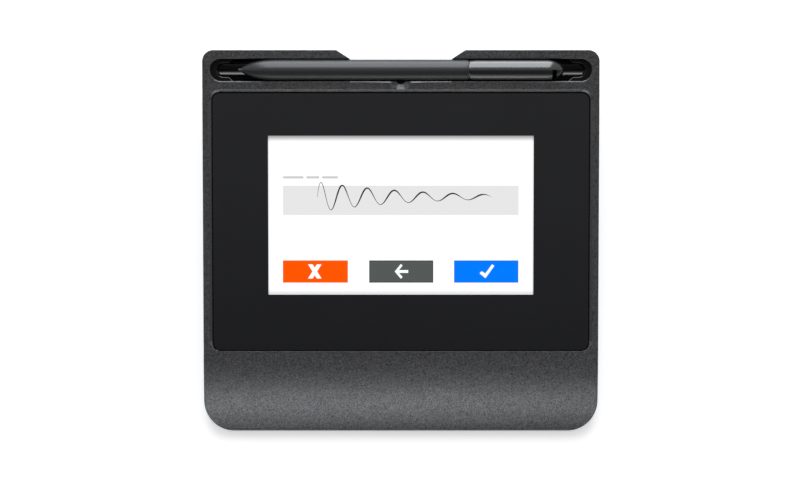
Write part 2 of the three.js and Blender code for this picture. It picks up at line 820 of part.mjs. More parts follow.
// Materials
const finishes = {
  caseGrey: { color: 0x3c3c3e, roughness: 0.7, metalness: 0 },
  baseBlack: { color: 0x1c1c1d, roughness: 0.75, metalness: 0 },
  glass: { color: 0x26282a, roughness: 0.25, metalness: 0 },
  tape: { color: 0x101010, roughness: 0.9, metalness: 0 },
  panel: { color: 0xf4f4f4, roughness: 0.3, metalness: 0 },
  backlight: { color: 0xdedede, roughness: 0.5, metalness: 0 },
  steel: { color: 0xb0b2b4, roughness: 0.35, metalness: 1 },
  trayBlack: { color: 0x0d0d0e, roughness: 0.12, metalness: 0 },
  penGrey: { color: 0x46484b, roughness: 0.45, metalness: 0 },
  nib: { color: 0x8a8c8e, roughness: 0.5, metalness: 0 },
  ferrite: { color: 0x3a3634, roughness: 0.6, metalness: 0 },
  copper: { color: 0xb06a3a, roughness: 0.35, metalness: 1 },
  board: { color: 0x1f5c3a, roughness: 0.5, metalness: 0 },
  chip: { color: 0x18181a, roughness: 0.6, metalness: 0 },
  connector: { color: 0xe6e0d0, roughness: 0.5, metalness: 0 },
  ribbon: { color: 0xb8742a, roughness: 0.4, metalness: 0 },
  rubber: { color: 0x161616, roughness: 0.9, metalness: 0 },
};

function piece(name, solid, finish) {
  const mesh = new THREE.Mesh(toGeometry(solid), new THREE.MeshStandardMaterial(finishes[finish]));
  mesh.name = name;
  return mesh;
}

// Assembly
const pad = new THREE.Group();
pad.add(
  piece('top_case', topCase(), 'caseGrey'),
  piece('bottom_case', bottomCase(), 'baseBlack'),
  piece('display_ribbon', displayRibbon(), 'ribbon'),
  piece('sensing_ribbon', sensingRibbon(), 'ribbon'),
  piece('main_board', mainBoard(), 'board'),
  piece('inlet_socket', inletSocket(), 'steel'),
  piece('lock_plate', lockPlate(), 'steel'),
);

const controllerX = chipSpacing - inletFromMiddle;
const controllerY = boardMiddleY + controllerSize / 2;
pad.add(
  piece('controller_chip', onBoard(
    controllerSize, controllerSize, controllerThickness, controllerX, controllerY,
  ), 'chip'),
  piece('interface_chip', onBoard(
    interfaceChipSize, interfaceChipSize, interfaceChipThickness, -inletFromMiddle, boardMiddleY,
  ), 'chip'),
  piece('crystal', onBoard(
    crystalLength, crystalWidth, crystalThickness,
    controllerX + controllerSize / 2 + crystalLength, controllerY,
  ), 'steel'),
  piece('display_connector', onBoard(
    displayRibbonWidth + 2 * connectorMargin, connectorDepth, connectorHeight, 0,
    displayConnectorY,
  ), 'connector'),
  piece('sensing_connector', onBoard(
    sensingRibbonWidth + 2 * connectorMargin, connectorDepth, connectorHeight, sensingRibbonX,
    sensingConnectorY,
  ), 'connector'),
  piece('ballast_plate', block(
    ballastWidth, ballastLength, ballastThickness, 0,
    rearY - ballastFromRear - ballastLength / 2, floorTop + seam,
  ), 'steel'),
);

for (const { name, x, y } of footPlaces) {
  pad.add(piece(`foot_${name}`, rod(footRadius, 0, caseBottom + footRecess - seam, x, y), 'rubber'));
}

for (const { name, x, y, length } of screwPlaces) {
  const head = screwShoulder - screwHeadThickness;
  const solid = screw(x, y, head, screwShoulder, screwShoulder + length, screwHeadRadius, screwRadius);
  pad.add(piece(`case_screw_${name}`, solid, 'steel'));
}

for (const { name, x, y } of boardHoles) {
  const shoulder = boardTop + seam;
  const solid = joined(
    rod(boardScrewHeadRadius, shoulder, shoulder + boardScrewHeadThickness, x, y, smallSides),
    rod(boardScrewRadius, shoulder - boardScrewLength, shoulder + seam, x, y, smallSides),
  );
  pad.add(piece(`board_screw_${name}`, solid, 'steel'));
}

const deck = new THREE.Group();
deck.position.set(0, rearY, rearHeight);
deck.rotation.x = tilt;
deck.add(
  piece('cover_glass', coverGlass(), 'glass'),
  piece('glass_tape', glassTape(), 'tape'),
  piece('display_panel', layer(panelWidth, panelLength, panelTop, panelThickness), 'panel'),
  piece('backlight', layer(
    backlightWidth, backlightLength, backlightTop, backlightThickness,
  ), 'backlight'),
  piece('display_frame', displayFrame(), 'steel'),
  piece('sensing_board', layer(sensingWidth, sensingLength, sensingTop, sensingThickness), 'board'),
  piece('shield_plate', layer(
    sensingWidth - 2 * shieldInset, shieldLength, shieldTop, shieldThickness,
  ), 'steel'),
  piece('pen_tray', penTray(), 'trayBlack'),
);

const pen = new THREE.Group();
pen.position.set(penShift, -slotMiddle, -penBelowDeck);
pen.add(
  piece('pen_barrel', penBarrel(), 'penGrey'),
  piece('pen_tail_cap', penTailCap(), 'penGrey'),
  piece('pen_nib', penNib(), 'nib'),
  piece('pen_core', tube(
    coreFrom, coreFrom + coilLength, coreRadius, nibDiameter / 2 + seam,
  ), 'ferrite'),
  piece('pen_coil', tube(
    coreFrom, coreFrom + coilLength, coreRadius + seam + coilWall, coreRadius + seam,
  ), 'copper'),
  piece('pressure_sensor', turned([
    [sensorFrom, 0],
    [sensorFrom, boreRadius - seam],
    [sensorFrom + penSensorLength, boreRadius - seam],
    [sensorFrom + penSensorLength, 0],
  ], smallSides), 'steel'),
  piece('pen_board', block(
    penBoardLength, penBoardWidth, penBoardThickness,
    penBoardFrom + penBoardLength / 2, 0, -penBoardThickness / 2,
  ), 'board'),
);
deck.add(pen);

const signaturePad = new THREE.Group();
signaturePad.add(pad, deck);

export default signaturePad;
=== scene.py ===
import math
from functools import partialmethod
from types import SimpleNamespace

import bmesh
import bpy
from mathutils import Matrix, Vector


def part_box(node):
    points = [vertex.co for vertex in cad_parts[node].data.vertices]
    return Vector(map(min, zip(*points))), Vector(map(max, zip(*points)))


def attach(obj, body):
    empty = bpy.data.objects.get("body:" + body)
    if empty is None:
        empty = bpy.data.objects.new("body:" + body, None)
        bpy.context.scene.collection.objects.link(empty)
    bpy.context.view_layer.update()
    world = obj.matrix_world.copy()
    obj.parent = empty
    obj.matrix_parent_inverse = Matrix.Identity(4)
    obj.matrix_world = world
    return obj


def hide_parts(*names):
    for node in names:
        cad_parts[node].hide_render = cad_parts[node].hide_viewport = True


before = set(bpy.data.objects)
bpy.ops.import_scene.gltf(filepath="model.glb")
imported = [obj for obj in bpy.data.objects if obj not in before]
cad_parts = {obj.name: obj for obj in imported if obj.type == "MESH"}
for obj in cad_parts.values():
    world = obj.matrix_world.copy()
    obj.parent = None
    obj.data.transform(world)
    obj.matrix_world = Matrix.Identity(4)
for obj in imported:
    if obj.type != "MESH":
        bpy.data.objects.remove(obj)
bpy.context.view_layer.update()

# Camera and studio. The pad stands on a pale floor and is seen almost square to its
# sloping deck, from a little under a metre. A large soft light hangs behind and above
# it, and a low bar of soft light in front of it picks out the palm rest.

MM = 0.001
DECK_TILT = math.radians(10)
scene = bpy.context.scene
scene.view_settings.view_transform = "Standard"
case_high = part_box("top_case")[1]
# The deck's own frame: x across, y to the rear from the rear edge, z up from the deck
deck = Matrix.Translation((0, case_high.y, case_high.z)) @ Matrix.Rotation(DECK_TILT, 4, "X")


def on_deck(x, along, above=0.0):
    """A point given in millimetres across, forward from the rear edge and above the deck."""
    return deck @ Vector((x * MM, -along * MM, above * MM))


def overhead(degrees):
    """The direction that leans this many degrees to the rear from straight up."""
    lean = math.radians(degrees)
    return Vector((0, math.sin(lean), math.cos(lean)))


def facing(direction):
    """A turn whose own z axis points along direction, with its x axis kept level."""
    back = direction.normalized()
    right = Vector((0, 1, 0)).cross(back).normalized()
    up = back.cross(right).normalized()
    return Matrix((right, up, back)).transposed().to_4x4()


def shown(name, data):
    """An object in the scene, made from this mesh, lamp or camera."""
    made = bpy.data.objects.new(name, data)
    scene.collection.objects.link(made)
    return made


VIEW_LEAN = -6.6
VIEW_DISTANCE = 0.9
VIEW_ACROSS = -0.35
VIEW_ALONG = 76.6
LENS_LENGTH = 99.7
SENSOR_WIDTH = 36
NEAREST_SEEN = 0.05
view_target = on_deck(VIEW_ACROSS, VIEW_ALONG)
camera_data = bpy.data.cameras.new("view_camera")
camera_data.sensor_width = SENSOR_WIDTH
camera_data.lens = LENS_LENGTH
camera_data.clip_start = NEAREST_SEEN
camera = shown("view_camera", camera_data)
toward = overhead(VIEW_LEAN)
camera.matrix_world = Matrix.Translation(view_target + toward * VIEW_DISTANCE) @ facing(toward)
scene.camera = camera

COOL_WHITE = (0.93, 0.96, 1.0)


def soft_light(name, lean, distance, width, length, radiance, aside=0.0):
    """A flat soft light aimed at the pad, as bright in every direction as radiance says."""
    data = bpy.data.lights.new(name, "AREA")
    data.shape = "RECTANGLE"
    data.size = width
    data.size_y = length
    data.energy = radiance * math.pi * width * length
    data.color = COOL_WHITE
    light = shown(name, data)
    place = view_target + overhead(lean) * distance + Vector((aside, 0, 0))
    light.matrix_world = Matrix.Translation(place) @ facing(place - view_target)
    light.visible_camera = False
    return light


soft_light("rear_softbox", lean=61, distance=1.1, width=0.85, length=1.85, radiance=3.7)
front_bar = soft_light(
    "front_bar", lean=-40.5, distance=1.6, width=1.0, length=0.24, radiance=5.4, aside=-0.12
)
front_fill = soft_light("front_fill", lean=-44, distance=1.6, width=1.6, length=1.2, radiance=0.27)


def feed(value, socket):
    """Link what a node puts out to a socket, or set a plain value on it."""
    if isinstance(value, Value):
        socket.id_data.links.new(value.socket, socket)
    else:
        socket.default_value = value


def add_node(tree, kind, values=None, **settings):
    """A node with its settings, and values or links for its inputs."""
    made = tree.nodes.new(kind)
    for key, value in settings.items():
        setattr(made, key, value)
    for key, value in (values or {}).items():
        feed(value, made.inputs[key])
    return made


def node_value(tree, kind, values=None, out=0, **settings):
    """What a new node puts out."""
    return Value(add_node(tree, kind, values, **settings).outputs[out])


def named_outputs(node):
    """All that a node puts out, by name."""
    return SimpleNamespace(**{
        socket.name.replace(" ", "_"): Value(socket) for socket in node.outputs if socket.name
    })


def math_node(tree, operation, *values):
    """The result of one sum on values or plain numbers."""
    return node_value(tree, "ShaderNodeMath", dict(enumerate(values)), operation=operation)


class Value:
    """What a node puts out. A sum written with it adds a Math node to its tree."""

    def __init__(self, socket):
        self.socket = socket
        self.tree = socket.id_data

    def through(self, operation, *others):
        """The result of a Math node on this value, alone or with others."""
        return math_node(self.tree, operation, self, *others)

    def __rsub__(self, other):
        return math_node(self.tree, "SUBTRACT", other, self)

    __add__ = partialmethod(through, "ADD")
    __sub__ = partialmethod(through, "SUBTRACT")
    __mul__ = partialmethod(through, "MULTIPLY")
    __truediv__ = partialmethod(through, "DIVIDE")
    __pow__ = partialmethod(through, "POWER")
    __abs__ = partialmethod(through, "ABSOLUTE")

    def clamped(self):
        """This value kept between 0 and 1."""
        return node_value(self.tree, "ShaderNodeClamp", {"Value": self})

    def spread(self, low, high, to_low=0.0, to_high=1.0):
        """This value moved from one range to another, smoothly and kept inside it."""
        return node_value(self.tree, "ShaderNodeMapRange", {
            "Value": self, "From Min": low, "From Max": high, "To Min": to_low, "To Max": to_high,
        }, interpolation_type="SMOOTHSTEP")


def apart(point):
    """The x, y and z of a point."""
    parts = add_node(point.tree, "ShaderNodeSeparateXYZ", {0: point}).outputs
    return [Value(socket) for socket in parts]


def coordinates(tree):
    """The ways in which a place can be read, by name."""
    return named_outputs(tree.nodes.new("ShaderNodeTexCoord"))


def ray_kinds(tree):
    """One or nought for each kind of ray that meets the surface, by name."""
    return named_outputs(tree.nodes.new("ShaderNodeLightPath"))


def new_material(name, roughness, metallic=0.0, **sockets):
    """A material with its own Principled shader, and values or links for its sockets."""
    material = bpy.data.materials.new(name)
    material.use_nodes = True
    shader = material.node_tree.nodes["Principled BSDF"].inputs
    shader["Roughness"].default_value = roughness
    shader["Metallic"].default_value = metallic
    for key, value in sockets.items():
        feed(value, shader[key.replace("_", " ")])
    return material, material.node_tree, shader


# Surroundings: pale to the front and the rear, with dim sides and a dark ceiling that is
# lit toward its rear; white to the eye
SIDE_TONE = 0.15
REAR_TONE = 1.0
FRONT_TONE = 0.75
CEILING_TONES = (0.08, 0.34)
CEILING_LEANS = (math.radians(-17.5), math.radians(-11))
REAR_CEILING_TONE = 0.21
REAR_CEILING_LEANS = (math.radians(-6), math.radians(2))
LOW_HEIGHTS = (0.2, 0.7)
END_FROM = 0.8
END_TO = 0.98
world = bpy.data.worlds.new("studio")
world.use_nodes = True
scene.world = world
tree = world.node_tree
tree.nodes.clear()
x, y, z = apart(coordinates(tree).Generated)
lean = y.through("ARCTAN2", z)
rear_ceiling = lean.spread(*REAR_CEILING_LEANS, 0.0, REAR_CEILING_TONE)
ceiling = lean.spread(*CEILING_LEANS, *CEILING_TONES) + rear_ceiling
rear_end = y.spread(END_FROM, END_TO, SIDE_TONE, REAR_TONE)
front_end = y.spread(-END_TO, -END_FROM, FRONT_TONE, SIDE_TONE)
horizon = z.spread(*LOW_HEIGHTS, 1.0, 0.0) * rear_end.through("MAXIMUM", front_end)
brightness = node_value(tree, "ShaderNodeMix", {
    "Factor": ray_kinds(tree).Is_Camera_Ray, "A": ceiling.through("MAXIMUM", horizon), "B": 1.0,
})
background = node_value(tree, "ShaderNodeBackground", {
    "Color": (1, 1, 1, 1), "Strength": brightness,
})
feed(background, tree.nodes.new("ShaderNodeOutputWorld").inputs["Surface"])

# Floor: pale and matt, white to the eye, with the pad's soft shadow kept. In mirrored
# rays only its part close in front of the pad is bright
FLOOR_HALF = 4.0
SEEN_GLOW = 0.55
MIRRORED_GLOW = 0.15
FRONT_GLOW = 2.0
FRONT_REACH = (-0.3, -0.12)
SIDE_REACH = (0.1, 0.35)
floor_mesh = bpy.data.meshes.new("floor")
corners = [(x * FLOOR_HALF, y * FLOOR_HALF, 0) for x, y in ((-1, -1), (1, -1), (1, 1), (-1, 1))]
floor_mesh.from_pydata(corners, [], [(0, 1, 2, 3)])
pale_floor, tree, shader = new_material(
    "pale_floor", 0.9, Base_Color=(0.82, 0.82, 0.82, 1), Emission_Color=(1, 1, 1, 1)
)
ray = ray_kinds(tree)
mirrored_ray = ray.Is_Glossy_Ray.through("MAXIMUM", ray.Is_Transmission_Ray)
x, y, z = apart(coordinates(tree).Object)
in_front = abs(x).spread(*SIDE_REACH, 1.0, 0.0) * y.spread(*FRONT_REACH, FRONT_GLOW, 0.0)
glow = ray.Is_Camera_Ray * SEEN_GLOW + mirrored_ray * (in_front + MIRRORED_GLOW)
feed(glow, shader["Emission Strength"])
floor_mesh.materials.append(pale_floor)
shown("floor", floor_mesh)

# Top case: one injection moulding in dark grey ABS. Its outside has a fine spark texture that
# glitters a little; the chamfer round the glass and the scoop in front of the finger gap come from
# polished parts of the mould.


def new_group(name, inputs, outputs):
    """A shader node group, its inputs as values and the sockets of its outputs."""
    group = bpy.data.node_groups.new(name, "ShaderNodeTree")
    for label, value in inputs.items():
        socket = group.interface.new_socket(label, in_out="INPUT", socket_type="NodeSocketFloat")
        socket.default_value = value
    for label in outputs:
        group.interface.new_socket(label, in_out="OUTPUT", socket_type="NodeSocketFloat")
    given = named_outputs(group.nodes.new("NodeGroupInput"))
    return group, given, group.nodes.new("NodeGroupOutput").inputs


def noise(tree, scale, detail=2.0, roughness=0.5, distortion=0.0, place=None):
    """Soft random pattern on the piece, scale waves a metre."""
    return node_value(tree, "ShaderNodeTexNoise", {
        "Vector": place or coordinates(tree).Object, "Scale": scale, "Detail": detail,
        "Roughness": roughness, "Distortion": distortion,
    })


# Moulded grain: bumps left by a sparked mould, light specks painted on their tips as glints, broad
# drift
FINE_SCALE = 2.3
FINE_HEIGHT = 0.4
FACET_SCALE = 2.1
DRIFT_SCALE = 26.0
grain_group, given, end = new_group(
    "moulded_grain", {"Scale": 1500.0, "Specks": 0.2, "Contrast": 0.4}, ("Height", "Tone", "Flecks")
)
coarse = noise(grain_group, given.Scale, detail=3.0, roughness=0.65)
fine = noise(grain_group, given.Scale * FINE_SCALE, detail=1.0)
feed(fine * FINE_HEIGHT + coarse, end["Height"])
facets = node_value(grain_group, "ShaderNodeTexVoronoi", {
    "Vector": coordinates(grain_group).Object, "Scale": given.Scale * FACET_SCALE,
}, out="Color")
lightness, glint, _ = apart(facets)
drift = noise(grain_group, DRIFT_SCALE).spread(0.3, 0.7, 0.96, 1.04)
mottle = (lightness - 0.5) * given.Contrast + 1.0
# Tone: random grain tone, with light specks painted on the tips of the fine bumps as glints
feed(drift * mottle + fine.spread(0.62, 0.78) * given.Specks, end["Tone"])
feed(glint.spread(0.3, 0.7), end["Flecks"])

# Handling marks: faint cloudy change in how rough a clean surface is
marks_group, given, end = new_group(
    "handling_marks", {"Roughness": 0.2, "Change": 0.05, "Scale": 40.0}, ("Roughness",)
)
clouds = noise(marks_group, given.Scale, detail=4.0, roughness=0.55, distortion=0.6)
feed((clouds - 0.5) * given.Change + given.Roughness, end["Roughness"])


def placed_group(tree, group, **values):
    """What a group puts out in a material, with this material's own values."""
    return named_outputs(add_node(tree, "ShaderNodeGroup", values, node_tree=group))


def marked(tree, shader, roughness, **values):
    """Handling marks on a surface of this roughness."""
    marks = placed_group(tree, marks_group, Roughness=roughness, **values)
    feed(marks.Roughness, shader["Roughness"])


def toned(shader, color, tone, socket="Base Color"):
    """A colour made lighter or darker by a number that changes over the surface."""
    values = {0: color, "Scale": tone}
    scaled = node_value(tone.tree, "ShaderNodeVectorMath", values, operation="SCALE")
    feed(scaled, shader[socket])


def raised(shader, height, depth):
    """Bump from a height pattern, depth metres high."""
    bump = node_value(height.tree, "ShaderNodeBump", {"Height": height, "Distance": depth})
    feed(bump, shader["Normal"])


def moulded(
    name, color, roughness, scale, depth, painted_glints=0.0, marks=0.06, contrast=0.4, glitter=0.0,
    **sockets,
):
    """Moulded plastic in this colour, its grain with scale waves a metre and depth high."""
    material, tree, shader = new_material(name, roughness, **sockets)
    # The grain's tone carries glints painted on its bump tips as light specks
    grain = placed_group(tree, grain_group, Scale=scale, Specks=painted_glints, Contrast=contrast)
    toned(shader, color, grain.Tone)
    if marks:
        marked(tree, shader, roughness, Change=marks)
    if glitter:
        feed(grain.Flecks * glitter, shader["Coat Weight"])
        feed(roughness, shader["Coat Roughness"])
    raised(shader, grain.Height, depth)
    return material


case_grain = moulded(
    "case_grain", (0.0288, 0.0284, 0.0292), 0.29, 1300.0, 0.00005, painted_glints=1.6, marks=0.0,
    contrast=1.9, glitter=1.0,
)
case_smooth = moulded("case_smooth", (0.034, 0.034, 0.037), 0.18, 900.0, 0.00001, IOR=1.9)

JOIN_WITHIN = 2e-6
FLAT_WITHIN = math.radians(0.4)


def joined_copy(node, name, *materials):
    """A copy of a CAD solid as one joined mesh whose flat faces are whole."""
    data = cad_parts[node].data.copy()
    data.name = name
    data.materials.clear()
    for material in materials:
        data.materials.append(material)
    mesh = bmesh.new()
    mesh.from_mesh(data)
    bmesh.ops.remove_doubles(mesh, verts=mesh.verts, dist=JOIN_WITHIN)
    bmesh.ops.dissolve_degenerate(mesh, edges=mesh.edges, dist=JOIN_WITHIN)
    bmesh.ops.dissolve_limit(mesh, angle_limit=FLAT_WITHIN, verts=mesh.verts, edges=mesh.edges)
    mesh.to_mesh(data)
    mesh.free()
    return shown(name, data)


def settle(piece):
    """The piece as a plain mesh, with what its modifiers made and none of them left."""
    bpy.context.view_layer.update()
    evaluated = piece.evaluated_get(bpy.context.evaluated_depsgraph_get())
    data = bpy.data.meshes.new_from_object(evaluated)
    piece.modifiers.clear()
    old = piece.data
    piece.data = data
    bpy.data.meshes.remove(old)
    data.name = piece.name


def shade_smooth(piece, sharper_than):
    """Curved faces shaded smooth, with edges sharper than this many degrees kept."""
    piece.data.polygons.foreach_set("use_smooth", [True] * len(piece.data.polygons))
    piece.data.set_sharp_from_angle(angle=math.radians(sharper_than))


SHARP = 30
FACE_WEIGHT = 80


def rounded(piece, radius, steps=2, share=None, trim=-1):
    """Sharp edges rounded, in the trim's material, and curved faces shaded smooth.

    Each edge gets the share of the full rounding that its middle gives.
    """
    shade_smooth(piece, SHARP)
    bevel = piece.modifiers.new("rounded_edges", "BEVEL")
    bevel.width = radius
    bevel.segments = steps
    bevel.limit_method = "WEIGHT" if share else "ANGLE"
    bevel.angle_limit = math.radians(SHARP)
    bevel.use_clamp_overlap = False
    bevel.miter_outer = "MITER_SHARP"
    bevel.material = trim
    if share:
        mesh = bmesh.new()
        mesh.from_mesh(piece.data)
        weight = mesh.edges.layers.float.new("bevel_weight_edge")
        for edge in mesh.edges:
            if edge.is_manifold and edge.calc_face_angle() > math.radians(SHARP):
                edge[weight] = share((edge.verts[0].co + edge.verts[1].co) / 2)
        mesh.to_mesh(piece.data)
        mesh.free()
    even = piece.modifiers.new("even_shading", "WEIGHTED_NORMAL")
    even.keep_sharp = True
    even.weight = FACE_WEIGHT
    settle(piece)


def fitted(piece, body, slot, *nodes):
    """A piece that rides on a body and stands for these nodes. Its slot is not used."""
    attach(piece, body)
    if nodes:
        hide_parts(*nodes)


CASE_EDGE = 0.00045
# Places on the deck, in millimetres across, forward from its rear edge and above it
SLOT_MIDDLE = 8.1
SLOT_FRONT = 12.55
SLOT_REAR = 3.5
SLOT_HALF = 78
SCOOP_HALF = 21
SCOOP_LIP = (-0.4, -0.1)
STAND_FROM_REAR = 12.0
STAND_RADIUS = 4.7
CHAMFER_REAR = 15.5
CHAMFER_FRONT = 124
CHAMFER_HALF = 79.0
CHAMFER_HEIGHTS = (-1.2, -0.02)
CHAMFER_FOOT = -1.1
CHAMFER_SLOPE = (0.3, 0.96)
ON_LEVEL = 0.05
ON_LINE = 0.1
# How much of the full rounding an edge gets
FINE_SHARE = 0.2
PLAIN_SHARE = 0.6
deck_inverse = deck.inverted()


def between(value, ends):
    return ends[0] < value < ends[1]


def polished(center, normal):
    """True on the glass chamfer and the scoop, in the deck's frame."""
    x, y, z = center / MM
    if math.hypot(x, y + STAND_FROM_REAR) < STAND_RADIUS:
        return False
    sloping = between(normal.z, CHAMFER_SLOPE) and between(z, CHAMFER_HEIGHTS)
    return sloping and y > -CHAMFER_FRONT and abs(x) < CHAMFER_HALF


def edge_share(middle):
    """Wide rounding round the tray slot, close to none at the foot of the bevels."""
    x, y, z = deck_inverse @ middle / MM
    level = abs(z) < ON_LEVEL
    on_scoop = abs(x) < SCOOP_HALF and abs(y + SLOT_FRONT) < ON_LINE and between(z, SCOOP_LIP)
    on_chamfer = level and between(y, (-CHAMFER_FRONT, -CHAMFER_REAR))
    if on_scoop or on_chamfer or abs(z - CHAMFER_FOOT) < ON_LEVEL:
        return FINE_SHARE
    if level and between(y, (-SLOT_FRONT - ON_LINE, -SLOT_REAR)) and abs(x) < SLOT_HALF:
        return 1.0
    return PLAIN_SHARE


case = joined_copy("top_case", "textured_case", case_grain, case_smooth)
for face in case.data.polygons:
    center = deck_inverse @ face.center
    if polished(center, deck_inverse.to_3x3() @ face.normal):
        face.material_index = 1
rounded(case, CASE_EDGE, share=edge_share)
fitted(case, "pad", "case_grey", "top_case")
# The front bar and the front fill light only the case
lit_by_bar = bpy.data.collections.new("lit_by_front_bar")
lit_by_bar.objects.link(case)
for light in (front_bar, front_fill):
    light.light_linking.receiver_collection = lit_by_bar

# Bottom case: a flat moulded panel inside the skirt of the top case, in plain black ABS
# with a coarser matt texture. Six screws and four rubber feet sit in its recesses.

BASE_EDGE = 0.00018
base_black = moulded("base_black", (0.011, 0.011, 0.0115), 0.55, 900.0, 0.00005, painted_glints=0.15)
base = joined_copy("bottom_case", "bottom_panel", base_black)
rounded(base, BASE_EDGE, steps=1)
fitted(base, "pad", "base_black", "bottom_case")

# Rubber feet: four moulded discs of soft black rubber, glued into round recesses of the
# base. Each has a raised ring near its edge that grips the desk, and a dished middle.


def new_tree(name, **sizes):
    """A geometry tree with named inputs, and what comes in through them."""
    tree = bpy.data.node_groups.new(name, "GeometryNodeTree")
    for side in ("INPUT", "OUTPUT"):
        tree.interface.new_socket("Geometry", in_out=side, socket_type="NodeSocketGeometry")
    tree.interface.new_socket("Material", in_out="INPUT", socket_type="NodeSocketMaterial")
    for label, value in sizes.items():
        kind = "NodeSocketInt" if isinstance(value, int) else "NodeSocketFloat"
        socket = tree.interface.new_socket(label.replace("_", " "), in_out="INPUT", socket_type=kind)
        socket.default_value = value
    return tree, named_outputs(tree.nodes.new("NodeGroupInput"))


def shape(tree, kind, values=None, **settings):
    """The geometry that a new geometry node puts out."""
    return node_value(tree, "GeometryNode" + kind, values, **settings)


def vector(tree, x=0.0, y=0.0, z=0.0):
    """A point from three values or numbers."""
    return node_value(tree, "ShaderNodeCombineXYZ", {0: x, 1: y, 2: z})


def moved(solid, y, z):
    """The solid moved along y and z."""
    place = vector(solid.tree, 0.0, y, z)
    return shape(solid.tree, "Transform", {"Geometry": solid, "Translation": place})


# The small ring round which a turned form's section is swept
CORE_RADIUS = 0.001
MERGE_WITHIN = 1e-6


def turned(count, height, radius, sides):
    """A closed turned form about z, from the height and radius of each point by its index."""
    tree = height.tree
    line = shape(tree, "MeshLine", {"Count": count, "Offset": (0, 0, CORE_RADIUS)})
    place = vector(tree, radius - CORE_RADIUS, height * -1.0)
    placed = shape(tree, "SetPosition", {"Geometry": line, "Position": place})
    section = shape(tree, "MeshToCurve", {"Mesh": placed})
    ring = shape(tree, "CurvePrimitiveCircle", {"Resolution": sides, "Radius": CORE_RADIUS})
    level = shape(tree, "SetCurveNormal", {"Curve": ring}, mode="Z_UP")
    swept = shape(tree, "CurveToMesh", {"Curve": level, "Profile Curve": section})
    outward = shape(tree, "FlipFaces", {"Mesh": swept})
    return shape(tree, "MergeByDistance", {"Geometry": outward, "Distance": MERGE_WITHIN})


def point_index(tree):
    """The number of each point, from nought."""
    return node_value(tree, "GeometryNodeInputIndex")


def picked(tree, values):
    """The value in a short list that belongs to each point's index."""
    switch = tree.nodes.new("GeometryNodeIndexSwitch")
    switch.data_type = "FLOAT"
    while len(switch.index_switch_items) < len(values):
        switch.index_switch_items.new()
    feed(point_index(tree), switch.inputs["Index"])
    for place, value in enumerate(values):
        feed(value, switch.inputs[place + 1])
    return Value(switch.outputs[0])


def on_points(given, solid, **settings):
    """The solid on every given point as real geometry with its material, put out."""
    tree = solid.tree
    values = {"Points": given.Geometry, "Instance": solid, **settings}
    placed = shape(tree, "InstanceOnPoints", values)
    real = shape(tree, "RealizeInstances", {"Geometry": placed})
    dressed = shape(tree, "SetMaterial", {"Geometry": real, "Material": given.Material})
    feed(dressed, tree.nodes.new("NodeGroupOutput").inputs["Geometry"])


def grown(name, tree, points, material, sharper_than=SHARP, **sizes):
    """A plain mesh that a geometry tree makes from these points and sizes."""
    data = bpy.data.meshes.new(name)
    data.from_pydata(points, [], [])
    piece = shown(name, data)
    modifier = piece.modifiers.new(name, "NODES")
    modifier.node_group = tree
    given = {"Material": material, **sizes}
    for item in tree.interface.items_tree:
        label = item.name.replace(" ", "_")
        if label in given:
            modifier[item.identifier] = given[label]
    settle(piece)
    mesh = bmesh.new()
    mesh.from_mesh(piece.data)
    bmesh.ops.remove_doubles(mesh, verts=mesh.verts, dist=MERGE_WITHIN)
    bmesh.ops.dissolve_degenerate(mesh, edges=mesh.edges, dist=MERGE_WITHIN)
    loose = [edge for edge in mesh.edges if not edge.link_faces]
    bmesh.ops.delete(mesh, geom=loose, context="EDGES")
    bmesh.ops.recalc_face_normals(mesh, faces=mesh.faces)
    mesh.to_mesh(piece.data)
    mesh.free()
    shade_smooth(piece, sharper_than)
    return piece


def nodes_of(kind, *rows):
    """The names of the nodes of this kind in these rows, left before right."""
    return [f"{kind}_{row}_{side}" for row in rows for side in ("left", "right")]


def middles(nodes, at_top=False):
    """The middle of each node's underside, or of its top, and one node's width and height."""
    places = []
    for node in nodes:
        low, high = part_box(node)
        places.append(((low.x + high.x) / 2, (low.y + high.y) / 2, high.z if at_top else low.z))
    return places, high.x - low.x, high.z - low.z


# Shares of the dish's radius and depth, and of the rounded edge
DISH_FLAT_SHARE = 0.55
DISH_SIDE_SHARE = 0.9
SIDE_DEPTH_SHARE = 0.7
BEAD_SHARE = 0.3
FOOT_POINTS = 9
tree, given = new_tree(
    "rubber_foot", Radius=0.0055, Height=0.0025, Dish=0.0003, Ring_Width=0.0012, Edge=0.0003,
    Sides=64,
)
inner = given.Radius - given.Ring_Width - given.Edge
bead = given.Edge * BEAD_SHARE
radii = picked(tree, [
    0.0, inner * DISH_FLAT_SHARE, inner * DISH_SIDE_SHARE, inner, given.Radius - given.Edge,
    given.Radius - bead, given.Radius, given.Radius, 0.0,
])
heights = picked(tree, [
    given.Dish, given.Dish, given.Dish * SIDE_DEPTH_SHARE, 0.0, 0.0, bead, given.Edge,
    given.Height, given.Height,
])
on_points(given, turned(FOOT_POINTS, heights, radii, given.Sides))

foot_nodes = nodes_of("foot", "rear", "front")
foot_places, foot_width, foot_height = middles(foot_nodes)
foot_rubber = moulded("foot_rubber", (0.013, 0.013, 0.013), 0.78, 2400.0, 0.00002)
feet = grown(
    "rubber_feet", tree, foot_places, foot_rubber, Radius=foot_width / 2, Height=foot_height
)
fitted(feet, "pad", "foot_rubber", *foot_nodes)

# Screws: blackened steel with a pan head and a cross recess, and a rolled thread. Six go
# up through the base into the posts of the top case, four hold the main board down.


def united(operation, solids, first=None):
    """The union of closed solids, or their difference from the first."""
    kind = "GeometryNodeMeshBoolean"
    node = add_node(solids[0].tree, kind, operation=operation, solver="MANIFOLD")
    if first:
        feed(first, node.inputs["Mesh 1"])
    for solid in solids:
        feed(solid, node.inputs["Mesh 2"])
    return Value(node.outputs[0])


